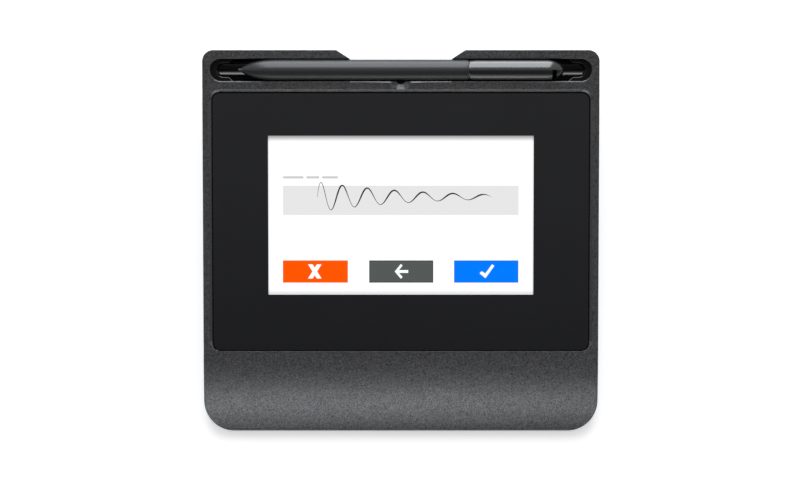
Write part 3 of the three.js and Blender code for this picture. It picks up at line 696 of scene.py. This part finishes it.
# Shares of the head's height and radius, and of how far the shank starts inside the head
RIM_SHARE = 0.35
CROWN_SHARE = 0.75
SHOULDER_SHARE = 0.95
RECESS_SHARE = 1.15
SEAT_SHARE = 0.98
HEAD_POINTS = 6
THREAD_POINTS = 45
SHANK_SIDES = 24
# All points of the shank but its first and last lie within this share of its length
THREADED_SHARE = 0.9998
tree, given = new_tree(
    "pan_head_screw", Head_Radius=0.0027, Head_Height=0.0008, Shank_Radius=0.0012,
    Shank_Length=0.008, Pitch=0.0008, Thread_Depth=0.00018, Recess_Width=0.0006,
    Recess_Depth=0.0004, Turn=0.0, Sides=32,
)
rim = given.Head_Height * RIM_SHARE
head_radii = picked(tree, [
    0.0, given.Head_Radius * CROWN_SHARE, given.Head_Radius * SHOULDER_SHARE,
    given.Head_Radius, given.Head_Radius, 0.0,
])
head_heights = picked(tree, [
    0.0, 0.0, rim * RIM_SHARE, rim, given.Head_Height, given.Head_Height,
])
head = turned(HEAD_POINTS, head_heights, head_radii, given.Sides)
arm = given.Head_Radius * RECESS_SHARE
depth = given.Recess_Depth * 2.0
bar = shape(tree, "MeshCube", {"Size": vector(tree, arm, given.Recess_Width, depth)})
crossbar = shape(tree, "MeshCube", {"Size": vector(tree, given.Recess_Width, arm, depth)})
recess = united("UNION", [bar, crossbar])
head = united("DIFFERENCE", [recess], head)
share = point_index(tree) / (THREAD_POINTS - 1.0)
thread_height = share * given.Shank_Length
wave = (thread_height / given.Pitch).through("PINGPONG", 0.5)
between_ends = abs(share - 0.5).through("LESS_THAN", THREADED_SHARE / 2)
thread_radius = (given.Shank_Radius - wave * given.Thread_Depth) * between_ends
shank = turned(THREAD_POINTS, thread_height, thread_radius, SHANK_SIDES)
shank = moved(shank, 0.0, given.Head_Height * SEAT_SHARE)
whole = add_node(tree, "GeometryNodeJoinGeometry", {"Geometry": head})
feed(shank, whole.inputs["Geometry"])
on_points(given, Value(whole.outputs[0]), Rotation=vector(tree, given.Turn))

# Sheet and bar steel: fine parallel lines left by rolling, and a little cloudiness
LINE_STRETCH = (0.03, 1.0, 1.0)
brushed_group, given, end = new_group(
    "brushed_lines", {"Scale": 900.0, "Roughness": 0.3, "Change": 0.12}, ("Roughness", "Height")
)
stretched = node_value(brushed_group, "ShaderNodeMapping", {
    "Vector": coordinates(brushed_group).Object, "Scale": LINE_STRETCH,
})
lines = noise(brushed_group, given.Scale, place=stretched)
feed((lines - 0.5) * given.Change + given.Roughness, end["Roughness"])
feed(lines, end["Height"])


def clouded(tree, scale, detail, low, high):
    """A soft change of tone, scale clouds a metre."""
    return noise(tree, scale, detail=detail).spread(0.3, 0.7, low, high)


def steel(name, color, roughness, scale=900.0, depth=0.000004):
    """Rolled or turned steel in this colour."""
    material, steel_tree, shader = new_material(name, roughness, metallic=1.0)
    lines = placed_group(steel_tree, brushed_group, Scale=scale, Roughness=roughness)
    toned(shader, color, clouded(steel_tree, 120.0, 3.0, 0.9, 1.05))
    feed(lines.Roughness, shader["Roughness"])
    raised(shader, lines.Height, depth)
    return material


screw_steel = steel("blackened_steel", (0.075, 0.075, 0.078), 0.38)


def screw_group(name, nodes, turn, head, **sizes):
    """One piece for a group of like screws, each at its node's own place."""
    places, width, length = middles(nodes, at_top=turn > 0)
    piece = grown(
        name, tree, places, screw_steel, Turn=turn, Head_Height=head, Head_Radius=width / 2,
        Shank_Length=length - head, **sizes,
    )
    fitted(piece, "pad", "screw_steel", *nodes)


CASE_HEAD = 0.0008
BOARD_HEAD = 0.0012
screw_group("case_screws", nodes_of("case_screw", "rear", "middle"), 0.0, CASE_HEAD)
screw_group("front_case_screws", nodes_of("case_screw", "front"), 0.0, CASE_HEAD)
screw_group(
    "board_screws", nodes_of("board_screw", "rear", "front"), math.pi, BOARD_HEAD,
    Shank_Radius=0.001, Pitch=0.0006,
)

# Pen tray: a trough insert moulded in polished black ABS and held under the slot of the
# top case. Its floor is as round as the pen and draws in to a narrow neck at each end; the
# flat ledges round the necks are left matt.

TRAY_EDGE = 0.0003
TRAY_ROUGHNESS = 0.10
LEDGE_LEVEL = 0.99
tray_black, tree, shader = new_material("tray_black", TRAY_ROUGHNESS, IOR=1.6)
toned(shader, (0.0016, 0.0016, 0.0018), clouded(tree, 60.0, 3.0, 0.85, 1.15))
marked(tree, shader, TRAY_ROUGHNESS, Change=0.06, Scale=70.0)
raised(shader, noise(tree, 240.0, detail=1.0), 0.000006)
ledge_black = moulded(
    "ledge_black", (0.0034, 0.0034, 0.0036), 0.5, 2400.0, 0.000006, Specular_IOR_Level=0.12
)
tray = joined_copy("pen_tray", "pen_trough", tray_black, ledge_black)
for face in tray.data.polygons:
    if (deck_inverse.to_3x3() @ face.normal).z > LEDGE_LEVEL:
        face.material_index = 1
rounded(tray, TRAY_EDGE, trim=0)
fitted(tray, "pad", "tray_black", "pen_tray")

# Cover glass: a hardened pane with an etched, faintly satin face, polished edges and
# black ink printed behind it as a border. It lies on a ring of black foam tape.

# Places and sizes in millimetres on the deck, heights above it
SCREEN_HALF = 54.0
SCREEN_FROM = 34.7
SCREEN_TO = 99.5
GLASS_TOP = -0.8
GLASS_BOTTOM = -2.6
GLASS_FROM = 17.4
GLASS_TO = 122.1
GLASS_BEVEL = 0.15
GLASS_CORNER = 3.0
CORNER_STEPS = 12
glass_low, glass_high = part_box("cover_glass")
glass_half = (glass_high.x - glass_low.x) / MM / 2


def box_outline(left, right, rear, front):
    return [(left, rear), (left, front), (right, front), (right, rear)]


def made_piece(name, mesh, *materials):
    """The piece that a mesh under work becomes, its faces turned outward."""
    bmesh.ops.recalc_face_normals(mesh, faces=mesh.faces)
    data = bpy.data.meshes.new(name)
    mesh.to_mesh(data)
    mesh.free()
    for material in materials:
        data.materials.append(material)
    return shown(name, data)


def ring(mesh, points, above):
    """New corners of a mesh at this height above the deck."""
    return [mesh.verts.new(on_deck(x, along, above)) for x, along in points]


def pairs(corners):
    """Each corner of a closed ring with the next."""
    return list(zip(corners, corners[1:] + corners[:1]))


INK_ROUGHNESS = 0.20
border_ink, tree, shader = new_material("border_ink", INK_ROUGHNESS, IOR=1.5)
toned(shader, (0.0096, 0.0098, 0.0112), clouded(tree, 30.0, 2.0, 0.94, 1.06))
marked(tree, shader, INK_ROUGHNESS, Change=0.04, Scale=25.0)
raised(shader, noise(tree, 3200.0, detail=1.0), 0.0000012)
PANE_ROUGHNESS = 0.03
clear_glass, tree, shader = new_material(
    "clear_glass", PANE_ROUGHNESS, IOR=1.12, Transmission_Weight=1.0,
    Base_Color=(0.995, 1.0, 0.998, 1),
)
marked(tree, shader, PANE_ROUGHNESS, Change=0.02, Scale=30.0)

# The pane's outline has round corners. Its edges are bevelled, and its window is cut out
# of the border's ink and filled with clear glass
glass_middle = (GLASS_FROM + GLASS_TO) / 2
outline = []
corners = box_outline(glass_half, -glass_half, GLASS_FROM, GLASS_TO)
for (side, along), first in zip(corners, (-90, 0, 90, 180)):
    centre_x = side - math.copysign(GLASS_CORNER, side)
    centre_along = along + math.copysign(GLASS_CORNER, glass_middle - along)
    for step in range(CORNER_STEPS + 1):
        angle = math.radians(first + 90 * step / CORNER_STEPS)
        outline.append((
            centre_x + GLASS_CORNER * math.cos(angle), centre_along + GLASS_CORNER * math.sin(angle)
        ))
narrower = (glass_half - GLASS_BEVEL) / glass_half
shorter = 1 - GLASS_BEVEL / ((GLASS_TO - GLASS_FROM) / 2)
drawn_in = [(x * narrower, glass_middle + (along - glass_middle) * shorter) for x, along in outline]
window = box_outline(SCREEN_HALF, -SCREEN_HALF, SCREEN_FROM, SCREEN_TO)
mesh = bmesh.new()
top_window = ring(mesh, window, GLASS_TOP)
rings = [
    ring(mesh, drawn_in, GLASS_TOP), ring(mesh, outline, GLASS_TOP - GLASS_BEVEL),
    ring(mesh, outline, GLASS_BOTTOM + GLASS_BEVEL), ring(mesh, drawn_in, GLASS_BOTTOM),
]
low_window = ring(mesh, window, GLASS_BOTTOM)
for upper, lower in zip(rings, rings[1:]):
    for (a, b), (c, d) in zip(pairs(upper), pairs(lower)):
        mesh.faces.new((a, b, d, c))
for rim, opening in ((rings[0], top_window), (rings[-1], low_window)):
    ends = pairs(opening) + pairs(rim)
    edges = [mesh.edges.get(pair) or mesh.edges.new(pair) for pair in ends]
    bmesh.ops.triangle_fill(mesh, use_beauty=True, edges=edges)
for opening in (top_window, low_window):
    mesh.faces.new(opening).material_index = 1
pane = made_piece("cover_pane", mesh, border_ink, clear_glass)
fitted(pane, "pad", "cover_glass", "cover_glass")


def finish_nodes(material, *nodes):
    """CAD solids whose shape is right, shown as they are with this material."""
    for node in nodes:
        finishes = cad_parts[node].data.materials
        finishes.clear()
        finishes.append(material)


finish_nodes(moulded("foam_tape", (0.006, 0.006, 0.006), 0.85, 3000.0, 0.00004), "glass_tape")

# Display: a 5 inch colour panel whose lit face shows through the window of the glass. On
# its white page stand a grey signing box with a sample stroke, and three flat buttons.

# Heights above the deck and widths, in millimetres
LAYER = 0.02
PAGE_TOP = -2.9 + LAYER
SIGN_LEVEL = PAGE_TOP + LAYER * 1.2
PIXEL_PITCH = 0.135
PIXEL_GAP_SHARE = 0.16

# Lit dots: the fine dark grid between the picture elements, in millimetres of the map
lit_group, given, end = new_group("lit_dots", {"Pitch": PIXEL_PITCH, "Depth": 0.05}, ("Tone",))
x, y, z = apart(node_value(lit_group, "ShaderNodeUVMap"))
columns, rows = (
    (spot / given.Pitch).through("FRACT").through("LESS_THAN", PIXEL_GAP_SHARE) for spot in (x, y)
)
feed(1.0 - columns.through("MAXIMUM", rows) * given.Depth, end["Tone"])

LIT_STRENGTH = 1.10


def lit(name, color, shade=None):
    """A colour of the lit page, exact to the eye through the glass."""
    material, tree, shader = new_material(
        name, 0.4, Base_Color=(0.0005, 0.0005, 0.0005, 1), Specular_IOR_Level=0.02,
        Emission_Strength=LIT_STRENGTH,
    )
    tone = placed_group(tree, lit_group).Tone
    if shade:
        tone = tone * shade(tree)
    toned(shader, color, tone, "Emission Color")
    return material


def edge_shade(tree):
    """The soft shade that the border casts on the page along its four edges."""
    x, y, z = apart(node_value(tree, "ShaderNodeUVMap"))
    rear = (y - SCREEN_FROM).spread(-0.4, 3.0, 0.28, 1.0)
    front = (SCREEN_TO - y).spread(-0.3, 2.6, 0.68, 1.0)
    side = (SCREEN_HALF - abs(x)).spread(0.0, 0.9, 0.75, 1.0)
    return rear * front * side


def plate(name, outlines, bottom, *materials):
    """Flat plates on the deck, the first in the first material and the others in the last.

    Their outlines are in millimetres, and so is the map that their materials read.
    """
    mesh = bmesh.new()
    for number, outline in enumerate(outlines):
        index = min(number, len(materials) - 1)
        low = ring(mesh, outline, bottom)
        high = ring(mesh, outline, bottom + LAYER)
        mesh.faces.new(high).material_index = index
        mesh.faces.new(low[::-1]).material_index = index
        for (a, b), (c, d) in zip(pairs(low), pairs(high)):
            mesh.faces.new((a, b, d, c)).material_index = index
    layer = mesh.loops.layers.uv.new("millimetres")
    for face in mesh.faces:
        for loop in face.loops:
            spot = deck_inverse @ loop.vert.co / MM
            loop[layer].uv = (spot.x, -spot.y)
    fitted(made_piece(name, mesh, *materials), "pad", "display")


# The panel under the page: two glass plates in a black edge seal
PANEL_EDGE = 0.0001
panel_edge = moulded("panel_edge", (0.012, 0.012, 0.013), 0.25, 2000.0, 0.000004)
panel = joined_copy("display_panel", "panel_glass", panel_edge)
rounded(panel, PANEL_EDGE, steps=1)
fitted(panel, "pad", "display", "display_panel")

page = box_outline(-SCREEN_HALF, SCREEN_HALF, SCREEN_FROM, SCREEN_TO)
plate("lit_page", [page], PAGE_TOP - LAYER, lit("lit_white", (1.0, 1.0, 1.0), edge_shade))

# Signing box: a pale grey field across the page
BOX_LEFT = -48.0
BOX_RIGHT = 47.9
BOX_REAR = 55.0
BOX_FRONT = 67.0
field = box_outline(BOX_LEFT, BOX_RIGHT, BOX_REAR, BOX_FRONT)
plate("signing_box", [field], PAGE_TOP, lit("lit_pale_grey", (0.744, 0.744, 0.744)))

# Place for a caption above the box: three plain short bars
CAPTION_REAR = 51.2
CAPTION_FRONT = 52.1
CAPTION_BARS = ((-48.0, -39.6), (-38.4, -33.2), (-32.0, -25.6))
bars = [box_outline(left, right, CAPTION_REAR, CAPTION_FRONT) for left, right in CAPTION_BARS]
plate("caption_bars", bars, PAGE_TOP, lit("lit_mid_grey", (0.56, 0.56, 0.56)))

# Sample stroke: one wave that dies away, thick and thin as a pen draws it
STROKE_FROM = -34.0
STROKE_TO = 37.0
STROKE_MIDDLE = 59.6
STROKE_STEPS = 240
WAVES = 6.5
WAVE_CROWDING = 0.85
WAVE_HEIGHT = 6.2
WAVE_FADING = 1.9
HALF_WIDTH = 0.21
WIDTH_SWING = 0.10
SWING_LEAD = 0.7
END_TAPER = 12
END_SHARE = 0.2


def phase(share):
    """The wave's angle at this share of the stroke."""
    return 2 * math.pi * WAVES * share ** WAVE_CROWDING


spine = []
for step in range(STROKE_STEPS + 1):
    share = step / STROKE_STEPS
    height = WAVE_HEIGHT * math.exp(-WAVE_FADING * share) * math.sin(phase(share))
    spine.append(Vector((STROKE_FROM + (STROKE_TO - STROKE_FROM) * share, STROKE_MIDDLE - height)))
# One side forward, the other back again
stroke = []
for step, point in enumerate(spine):
    ahead = spine[min(step + 1, STROKE_STEPS)] - spine[max(step - 1, 0)]
    normal = Vector((-ahead.y, ahead.x)).normalized()
    share = step / STROKE_STEPS
    width = HALF_WIDTH + WIDTH_SWING * math.sin(phase(share) + SWING_LEAD)
    width *= min(1.0, END_TAPER * share + END_SHARE, END_TAPER * (1 - share) + END_SHARE)
    stroke.insert(step, tuple(point + normal * width))
    stroke.insert(step + 1, tuple(point - normal * width))
plate("sample_stroke", [stroke], SIGN_LEVEL, lit("lit_dark_stroke", (0.006, 0.006, 0.007)))

# Buttons: flat fields, each with a slightly darker edge a few picture elements wide
BUTTON_REAR = 85.5
BUTTON_FRONT = 94.6
BUTTON_EDGE = 0.38
rear = BUTTON_REAR + BUTTON_EDGE
front = BUTTON_FRONT - BUTTON_EDGE
for name, left, right, color, edge_color in (
    ("cancel_button", -48.1, -21.6, (1.0, 0.0858, 0.0), (0.84, 0.10, 0.01)),
    ("back_button", -12.9, 13.2, (0.0837, 0.0942, 0.090), (0.052, 0.056, 0.056)),
    ("accept_button", 21.7, 47.9, (0.0, 0.1858, 1.0), (0.012, 0.15, 0.74)),
):
    inner_left = left + BUTTON_EDGE
    inner_right = right - BUTTON_EDGE
    fields = [box_outline(*sides) for sides in (
        (inner_left, inner_right, rear, front), (left, right, BUTTON_REAR, rear),
        (left, right, front, BUTTON_FRONT), (left, inner_left, rear, front),
        (inner_right, right, rear, front),
    )]
    plate(name, fields, PAGE_TOP, lit(name + "_face", color), lit(name + "_edge", edge_color))

# Signs on the buttons: a cross, an arrow back and a tick, white
BUTTON_MIDDLE = 90.0
CROSS_X = -35.1
ARROW_X = 0.15
TICK_X = 34.8
CROSS_HALF = 2.75
CROSS_HEIGHT = 2.9
CROSS_BAR = 1.9
cross_inner = CROSS_HALF - CROSS_BAR
notch_share = cross_inner / (2 * CROSS_HALF - CROSS_BAR)
notch = CROSS_HEIGHT - 2 * CROSS_HEIGHT * notch_share
right_side = [
    (cross_inner, -CROSS_HEIGHT), (CROSS_HALF, -CROSS_HEIGHT), (CROSS_BAR / 2, 0.0),
    (CROSS_HALF, CROSS_HEIGHT), (cross_inner, CROSS_HEIGHT),
]
left_side = [(-x, along) for x, along in reversed(right_side)]
cross = [(0.0, -notch), *right_side, (0.0, notch), *left_side]
arrow = [
    (-2.65, 0.05), (-0.15, -3.05), (0.55, -2.35), (-0.95, -0.55), (2.85, -0.55), (2.85, 0.6),
    (-0.95, 0.6), (0.55, 2.25), (-0.15, 3.0),
]
tick = [(-2.75, 0.75), (-1.8, -0.1), (-0.35, 0.85), (2.4, -2.95), (3.3, -2.25), (-0.3, 2.75)]
lit_sign = lit("lit_sign_white", (1.0, 1.0, 1.0))
for name, outline, x in (
    ("cancel_sign", cross, CROSS_X), ("back_sign", arrow, ARROW_X), ("accept_sign", tick, TICK_X),
):
    placed = [(x + dx, BUTTON_MIDDLE + dy) for dx, dy in outline]
    plate(name, [placed], SIGN_LEVEL, lit_sign)

# Inside the case: the display's backlight and steel frame, the pen-sensing board with its
# steel shield, the main board with its parts, the lock plate and the ballast plate.

finish_nodes(moulded("backlight_film", (0.72, 0.72, 0.70), 0.5, 1800.0, 0.000006), "backlight")
sheet_steel = steel("sheet_steel", (0.44, 0.45, 0.46), 0.3)
finish_nodes(sheet_steel, "display_frame", "shield_plate", "crystal", "lock_plate")
ballast_steel = steel("plated_ballast", (0.40, 0.40, 0.38), 0.42, scale=500.0, depth=0.00001)
finish_nodes(ballast_steel, "ballast_plate")
finish_nodes(
    moulded("chip_package", (0.009, 0.009, 0.010), 0.6, 4000.0, 0.000012),
    "controller_chip", "interface_chip",
)
finish_nodes(
    moulded("connector_shell", (0.75, 0.69, 0.57), 0.45, 2500.0, 0.000005),
    "display_connector", "sensing_connector",
)

# Circuit board: green solder mask over a grid of copper tracks that shows as low ridges
MASK_GREEN = (0.012, 0.080, 0.036, 1)
RIDGE_GREEN = (0.020, 0.120, 0.055, 1)
board_green, tree, shader = new_material("solder_mask", 0.35)
tracks = node_value(tree, "ShaderNodeTexBrick", {
    "Vector": coordinates(tree).Object, "Scale": 260.0, "Mortar Size": 0.03, "Bias": 0.0,
    "Brick Width": 1.7, "Row Height": 0.4,
}, out="Fac")
mask = add_node(tree, "ShaderNodeMix", {"Factor": tracks}, data_type="RGBA")
feed(MASK_GREEN, mask.inputs[6])
feed(RIDGE_GREEN, mask.inputs[7])
feed(Value(mask.outputs[2]), shader["Base Color"])
raised(shader, tracks, 0.00003)
finish_nodes(board_green, "sensing_board", "main_board")

# Flat ribbon: amber film over rows of copper tracks
TRACK_PITCH = 0.0005
TRACK_DARKENING = -0.45
ribbon_amber, tree, shader = new_material("ribbon_film", 0.22)
x, y, z = apart(coordinates(tree).Object)
track = (x / TRACK_PITCH).through("FRACT").spread(0.42, 0.58)
toned(shader, (0.45, 0.16, 0.03), track * TRACK_DARKENING + 1.0)
finish_nodes(ribbon_amber, "display_ribbon", "sensing_ribbon")

# Cable inlet: a drawn steel socket on the main board, open to the rear, with a row of
# gilt contacts on each side of its tongue.

TONGUE = 0.0007
CONTACT_LENGTH = 0.0042
CONTACT_SPACING = 0.0005
CONTACT_LIFT = 0.00003
CONTACT_SHIFT = 0.0002
finish_nodes(sheet_steel, "inlet_socket")
gilt, tree, shader = new_material("gilt_contact", 0.25, metallic=1.0)
toned(shader, (0.80, 0.55, 0.22), clouded(tree, 900.0, 2.0, 0.85, 1.05))
tree, given = new_tree(
    "contact_row", Length=0.004, Width=0.00025, Thickness=0.00006, Spacing=0.0005, Count=9
)
contact = shape(tree, "MeshCube", {
    "Size": vector(tree, given.Width, given.Length, given.Thickness),
})
span = given.Spacing * (given.Count - 1.0)
line = shape(tree, "MeshLine", {
    "Count": given.Count, "Start Location": vector(tree, span * -0.5),
    "Offset": vector(tree, given.Spacing),
})
row = shape(tree, "InstanceOnPoints", {"Points": line, "Instance": contact})
on_points(given, row)
socket_low, socket_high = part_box("inlet_socket")
middle = (socket_low + socket_high) / 2
rows_at = [
    (middle.x, middle.y + CONTACT_SHIFT, middle.z + side * (TONGUE / 2 + CONTACT_LIFT))
    for side in (-1, 1)
]
contacts = grown(
    "inlet_contacts", tree, rows_at, gilt, Length=CONTACT_LENGTH, Spacing=CONTACT_SPACING, Count=9
)
fitted(contacts, "pad", "bright_steel")

# Pen: a round barrel moulded in satin grey ABS with a bullet nose, and a glossier tail
# cap that plugs into it. The cap has a hook slot cut across near its rounded end.

PEN_SIDES = 96
PEN_POINTS = 160
PEN_RADIUS = 0.00425
BARREL_WALL = 0.0011
SPIGOT_ROOM = 0.0003
OVERRUN = 0.001
BORE_SIDES = 64
NIB_BORE_SIDES = 48
# Millimetres off the deck's middle line and below the deck
PEN_SHIFT = 0.05
PEN_BELOW = 1.2
# The pen's own frame turns its long z axis onto x, with the tip at the start
pen_place = (
    deck
    @ Matrix.Translation((PEN_SHIFT * MM, -SLOT_MIDDLE * MM, -PEN_BELOW * MM))
    @ Matrix.Rotation(math.radians(90), 4, "Y")
)
pen_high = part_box("pen_barrel")[1]
cap_low, cap_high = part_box("pen_tail_cap")
nib_low, nib_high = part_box("pen_nib")
tip, seam_at, cap_from, cap_to = (
    corner.x - PEN_SHIFT * MM for corner in (nib_low, pen_high, cap_low, cap_high)
)


def pen_piece(piece, body, slot, node):
    """A turned piece laid in its place in the tray, riding on its body."""
    piece.data.transform(pen_place)
    piece.data.update()
    fitted(piece, body, slot, node)


def along_line(length, crowding):
    """Each point's height on the skin, and one where it lies between the two ends."""
    index = point_index(length.tree)
    share = ((index - 1.0) / (PEN_POINTS - 3.0)).clamped()
    first = index.through("GREATER_THAN", 0.5)
    last = index.through("LESS_THAN", PEN_POINTS - 1.5)
    return share ** crowding * length, first * last


def domed(distance, length):
    """The share of the full radius at this distance from a round end of this length."""
    left = (1.0 - distance / length).clamped()
    return (1.0 - left ** 2.0).clamped().through("SQRT")


def softened(radius, distance, edge):
    """radius drawn in by a quarter round where the distance from an end is under edge."""
    short = (edge - distance).through("MAXIMUM", 0.0)
    return radius - (edge - (edge ** 2.0 - short ** 2.0).through("SQRT"))


def bore(radius, start, length, sides):
    """A cylinder about z to cut with or to add, from one height on."""
    values = {"Vertices": sides, "Radius": radius, "Depth": length}
    rod = shape(radius.tree, "MeshCylinder", values)
    return moved(rod, 0.0, length * 0.5 + start)


tree, given = new_tree(
    "bullet_barrel", Start=0.0017, Length=0.09, Radius=0.004, Nose_Length=0.017, Nose_Power=2.9,
    Edge=0.00022, Nib_Bore=0.00095, Nib_Bore_Depth=0.0055, Chamber=0.0029, Chamber_From=0.014,
    Sides=PEN_SIDES,
)
from_start, inside = along_line(given.Length - given.Start, crowding=1.6)
height = from_start + given.Start
left = (1.0 - height / given.Nose_Length).clamped()
radius = given.Radius * (1.0 - left ** given.Nose_Power)
radius = softened(radius, given.Length - height, given.Edge) * inside
skin = turned(PEN_POINTS, height, radius, given.Sides)
nib_depth = given.Nib_Bore_Depth + OVERRUN
nib_cut = bore(given.Nib_Bore, given.Start - OVERRUN, nib_depth, NIB_BORE_SIDES)
chamber_depth = given.Length - given.Chamber_From + OVERRUN
chamber_cut = bore(given.Chamber, given.Chamber_From, chamber_depth, BORE_SIDES)
on_points(given, united("DIFFERENCE", [nib_cut, chamber_cut], skin))

pen_satin = moulded("pen_satin", (0.033, 0.0345, 0.036), 0.26, 2600.0, 0.000008, marks=0.05)
barrel = grown(
    "pen_barrel_skin", tree, [(0, 0, tip)], pen_satin, sharper_than=40, Length=seam_at - tip,
    Radius=PEN_RADIUS, Chamber=PEN_RADIUS - BARREL_WALL,
)
pen_piece(barrel, "pen", "pen_grey", "pen_barrel")

# Tail cap: rounded end, spigot into the barrel, hook slot open to the front
HOOK_BLOCK_SHARE = 3.0
HOOK_AHEAD_SHARE = -1.51
tree, given = new_tree(
    "tail_cap", Length=0.0445, Radius=0.004, Round_Length=0.0074, Edge=0.00022, Spigot=0.0026,
    Spigot_Length=0.00615, Slot_Width=0.0018, Slot_From_End=0.0032, Sides=PEN_SIDES,
)
skin_length = given.Length - given.Spigot_Length
height, inside = along_line(skin_length, crowding=0.55)
radius = given.Radius * domed(skin_length - height, given.Round_Length)
radius = softened(radius, height, given.Edge).through("MAXIMUM", 0.0) * inside
skin = turned(PEN_POINTS, height, radius, given.Sides)
slot_middle = skin_length - (given.Slot_Width * 0.5 + given.Slot_From_End)
wide = given.Radius * HOOK_BLOCK_SHARE
hook = shape(tree, "MeshCube", {"Size": vector(tree, wide, wide, given.Slot_Width)})
hook = moved(hook, given.Radius * HOOK_AHEAD_SHARE, slot_middle)
slotted = moved(united("DIFFERENCE", [hook], skin), 0.0, given.Spigot_Length)
spigot = bore(given.Spigot, 0.0, given.Spigot_Length + OVERRUN, BORE_SIDES)
on_points(given, united("UNION", [slotted, spigot]))

cap_satin = moulded(
    "cap_satin", (0.010, 0.0105, 0.011), 0.22, 2600.0, 0.000006, marks=0.05, IOR=1.62,
    Coat_Weight=1.0, Coat_Roughness=0.16,
)
cap = grown(
    "tail_cap_skin", tree, [(0, 0, cap_from)], cap_satin, sharper_than=40,
    Length=cap_to - cap_from, Radius=PEN_RADIUS, Spigot=PEN_RADIUS - BARREL_WALL - SPIGOT_ROOM,
)
pen_piece(cap, "pen", "pen_cap_grey", "pen_tail_cap")

# Nib: a slim rod of hard grey plastic with a rounded writing point, worn a little flat
tree, given = new_tree(
    "writing_nib", Length=0.026, Radius=0.00065, Point_Length=0.00065, Sides=32
)
height, inside = along_line(given.Length, crowding=2.5)
radius = given.Radius * domed(height, given.Point_Length) * inside
on_points(given, turned(PEN_POINTS, height, radius, given.Sides))
nib_plastic = moulded("nib_plastic", (0.045, 0.045, 0.047), 0.45, 5000.0, 0.000003)
nib = grown(
    "nib_rod", tree, [(0, 0, tip)], nib_plastic, Length=nib_high.x - nib_low.x,
    Radius=(nib_high.y - nib_low.y) / 2,
)
pen_piece(nib, "nib", "nib_grey", "pen_nib")

# Inside the pen: ferrite sleeve, coil of enamelled wire, pressure sensor, small board
WIRE_PITCH = 0.0002
finish_nodes(
    moulded("ferrite", (0.040, 0.034, 0.031), 0.55, 3500.0, 0.00001, painted_glints=0.1), "pen_core"
)
copper_coil, tree, shader = new_material("enamelled_wire", 0.3, metallic=1.0)
x, y, z = apart(coordinates(tree).Object)
# Each turn of wire rises to a rounded crown, and its colour is painted darker toward the creases
# between turns as shade
winding_height_and_shade = (x / WIRE_PITCH).through("PINGPONG", 0.5)
toned(shader, (0.62, 0.24, 0.09), winding_height_and_shade * 0.8 + 0.6)
raised(shader, winding_height_and_shade, 0.00005)
finish_nodes(copper_coil, "pen_coil")
finish_nodes(sheet_steel, "pressure_sensor")
finish_nodes(board_green, "pen_board")
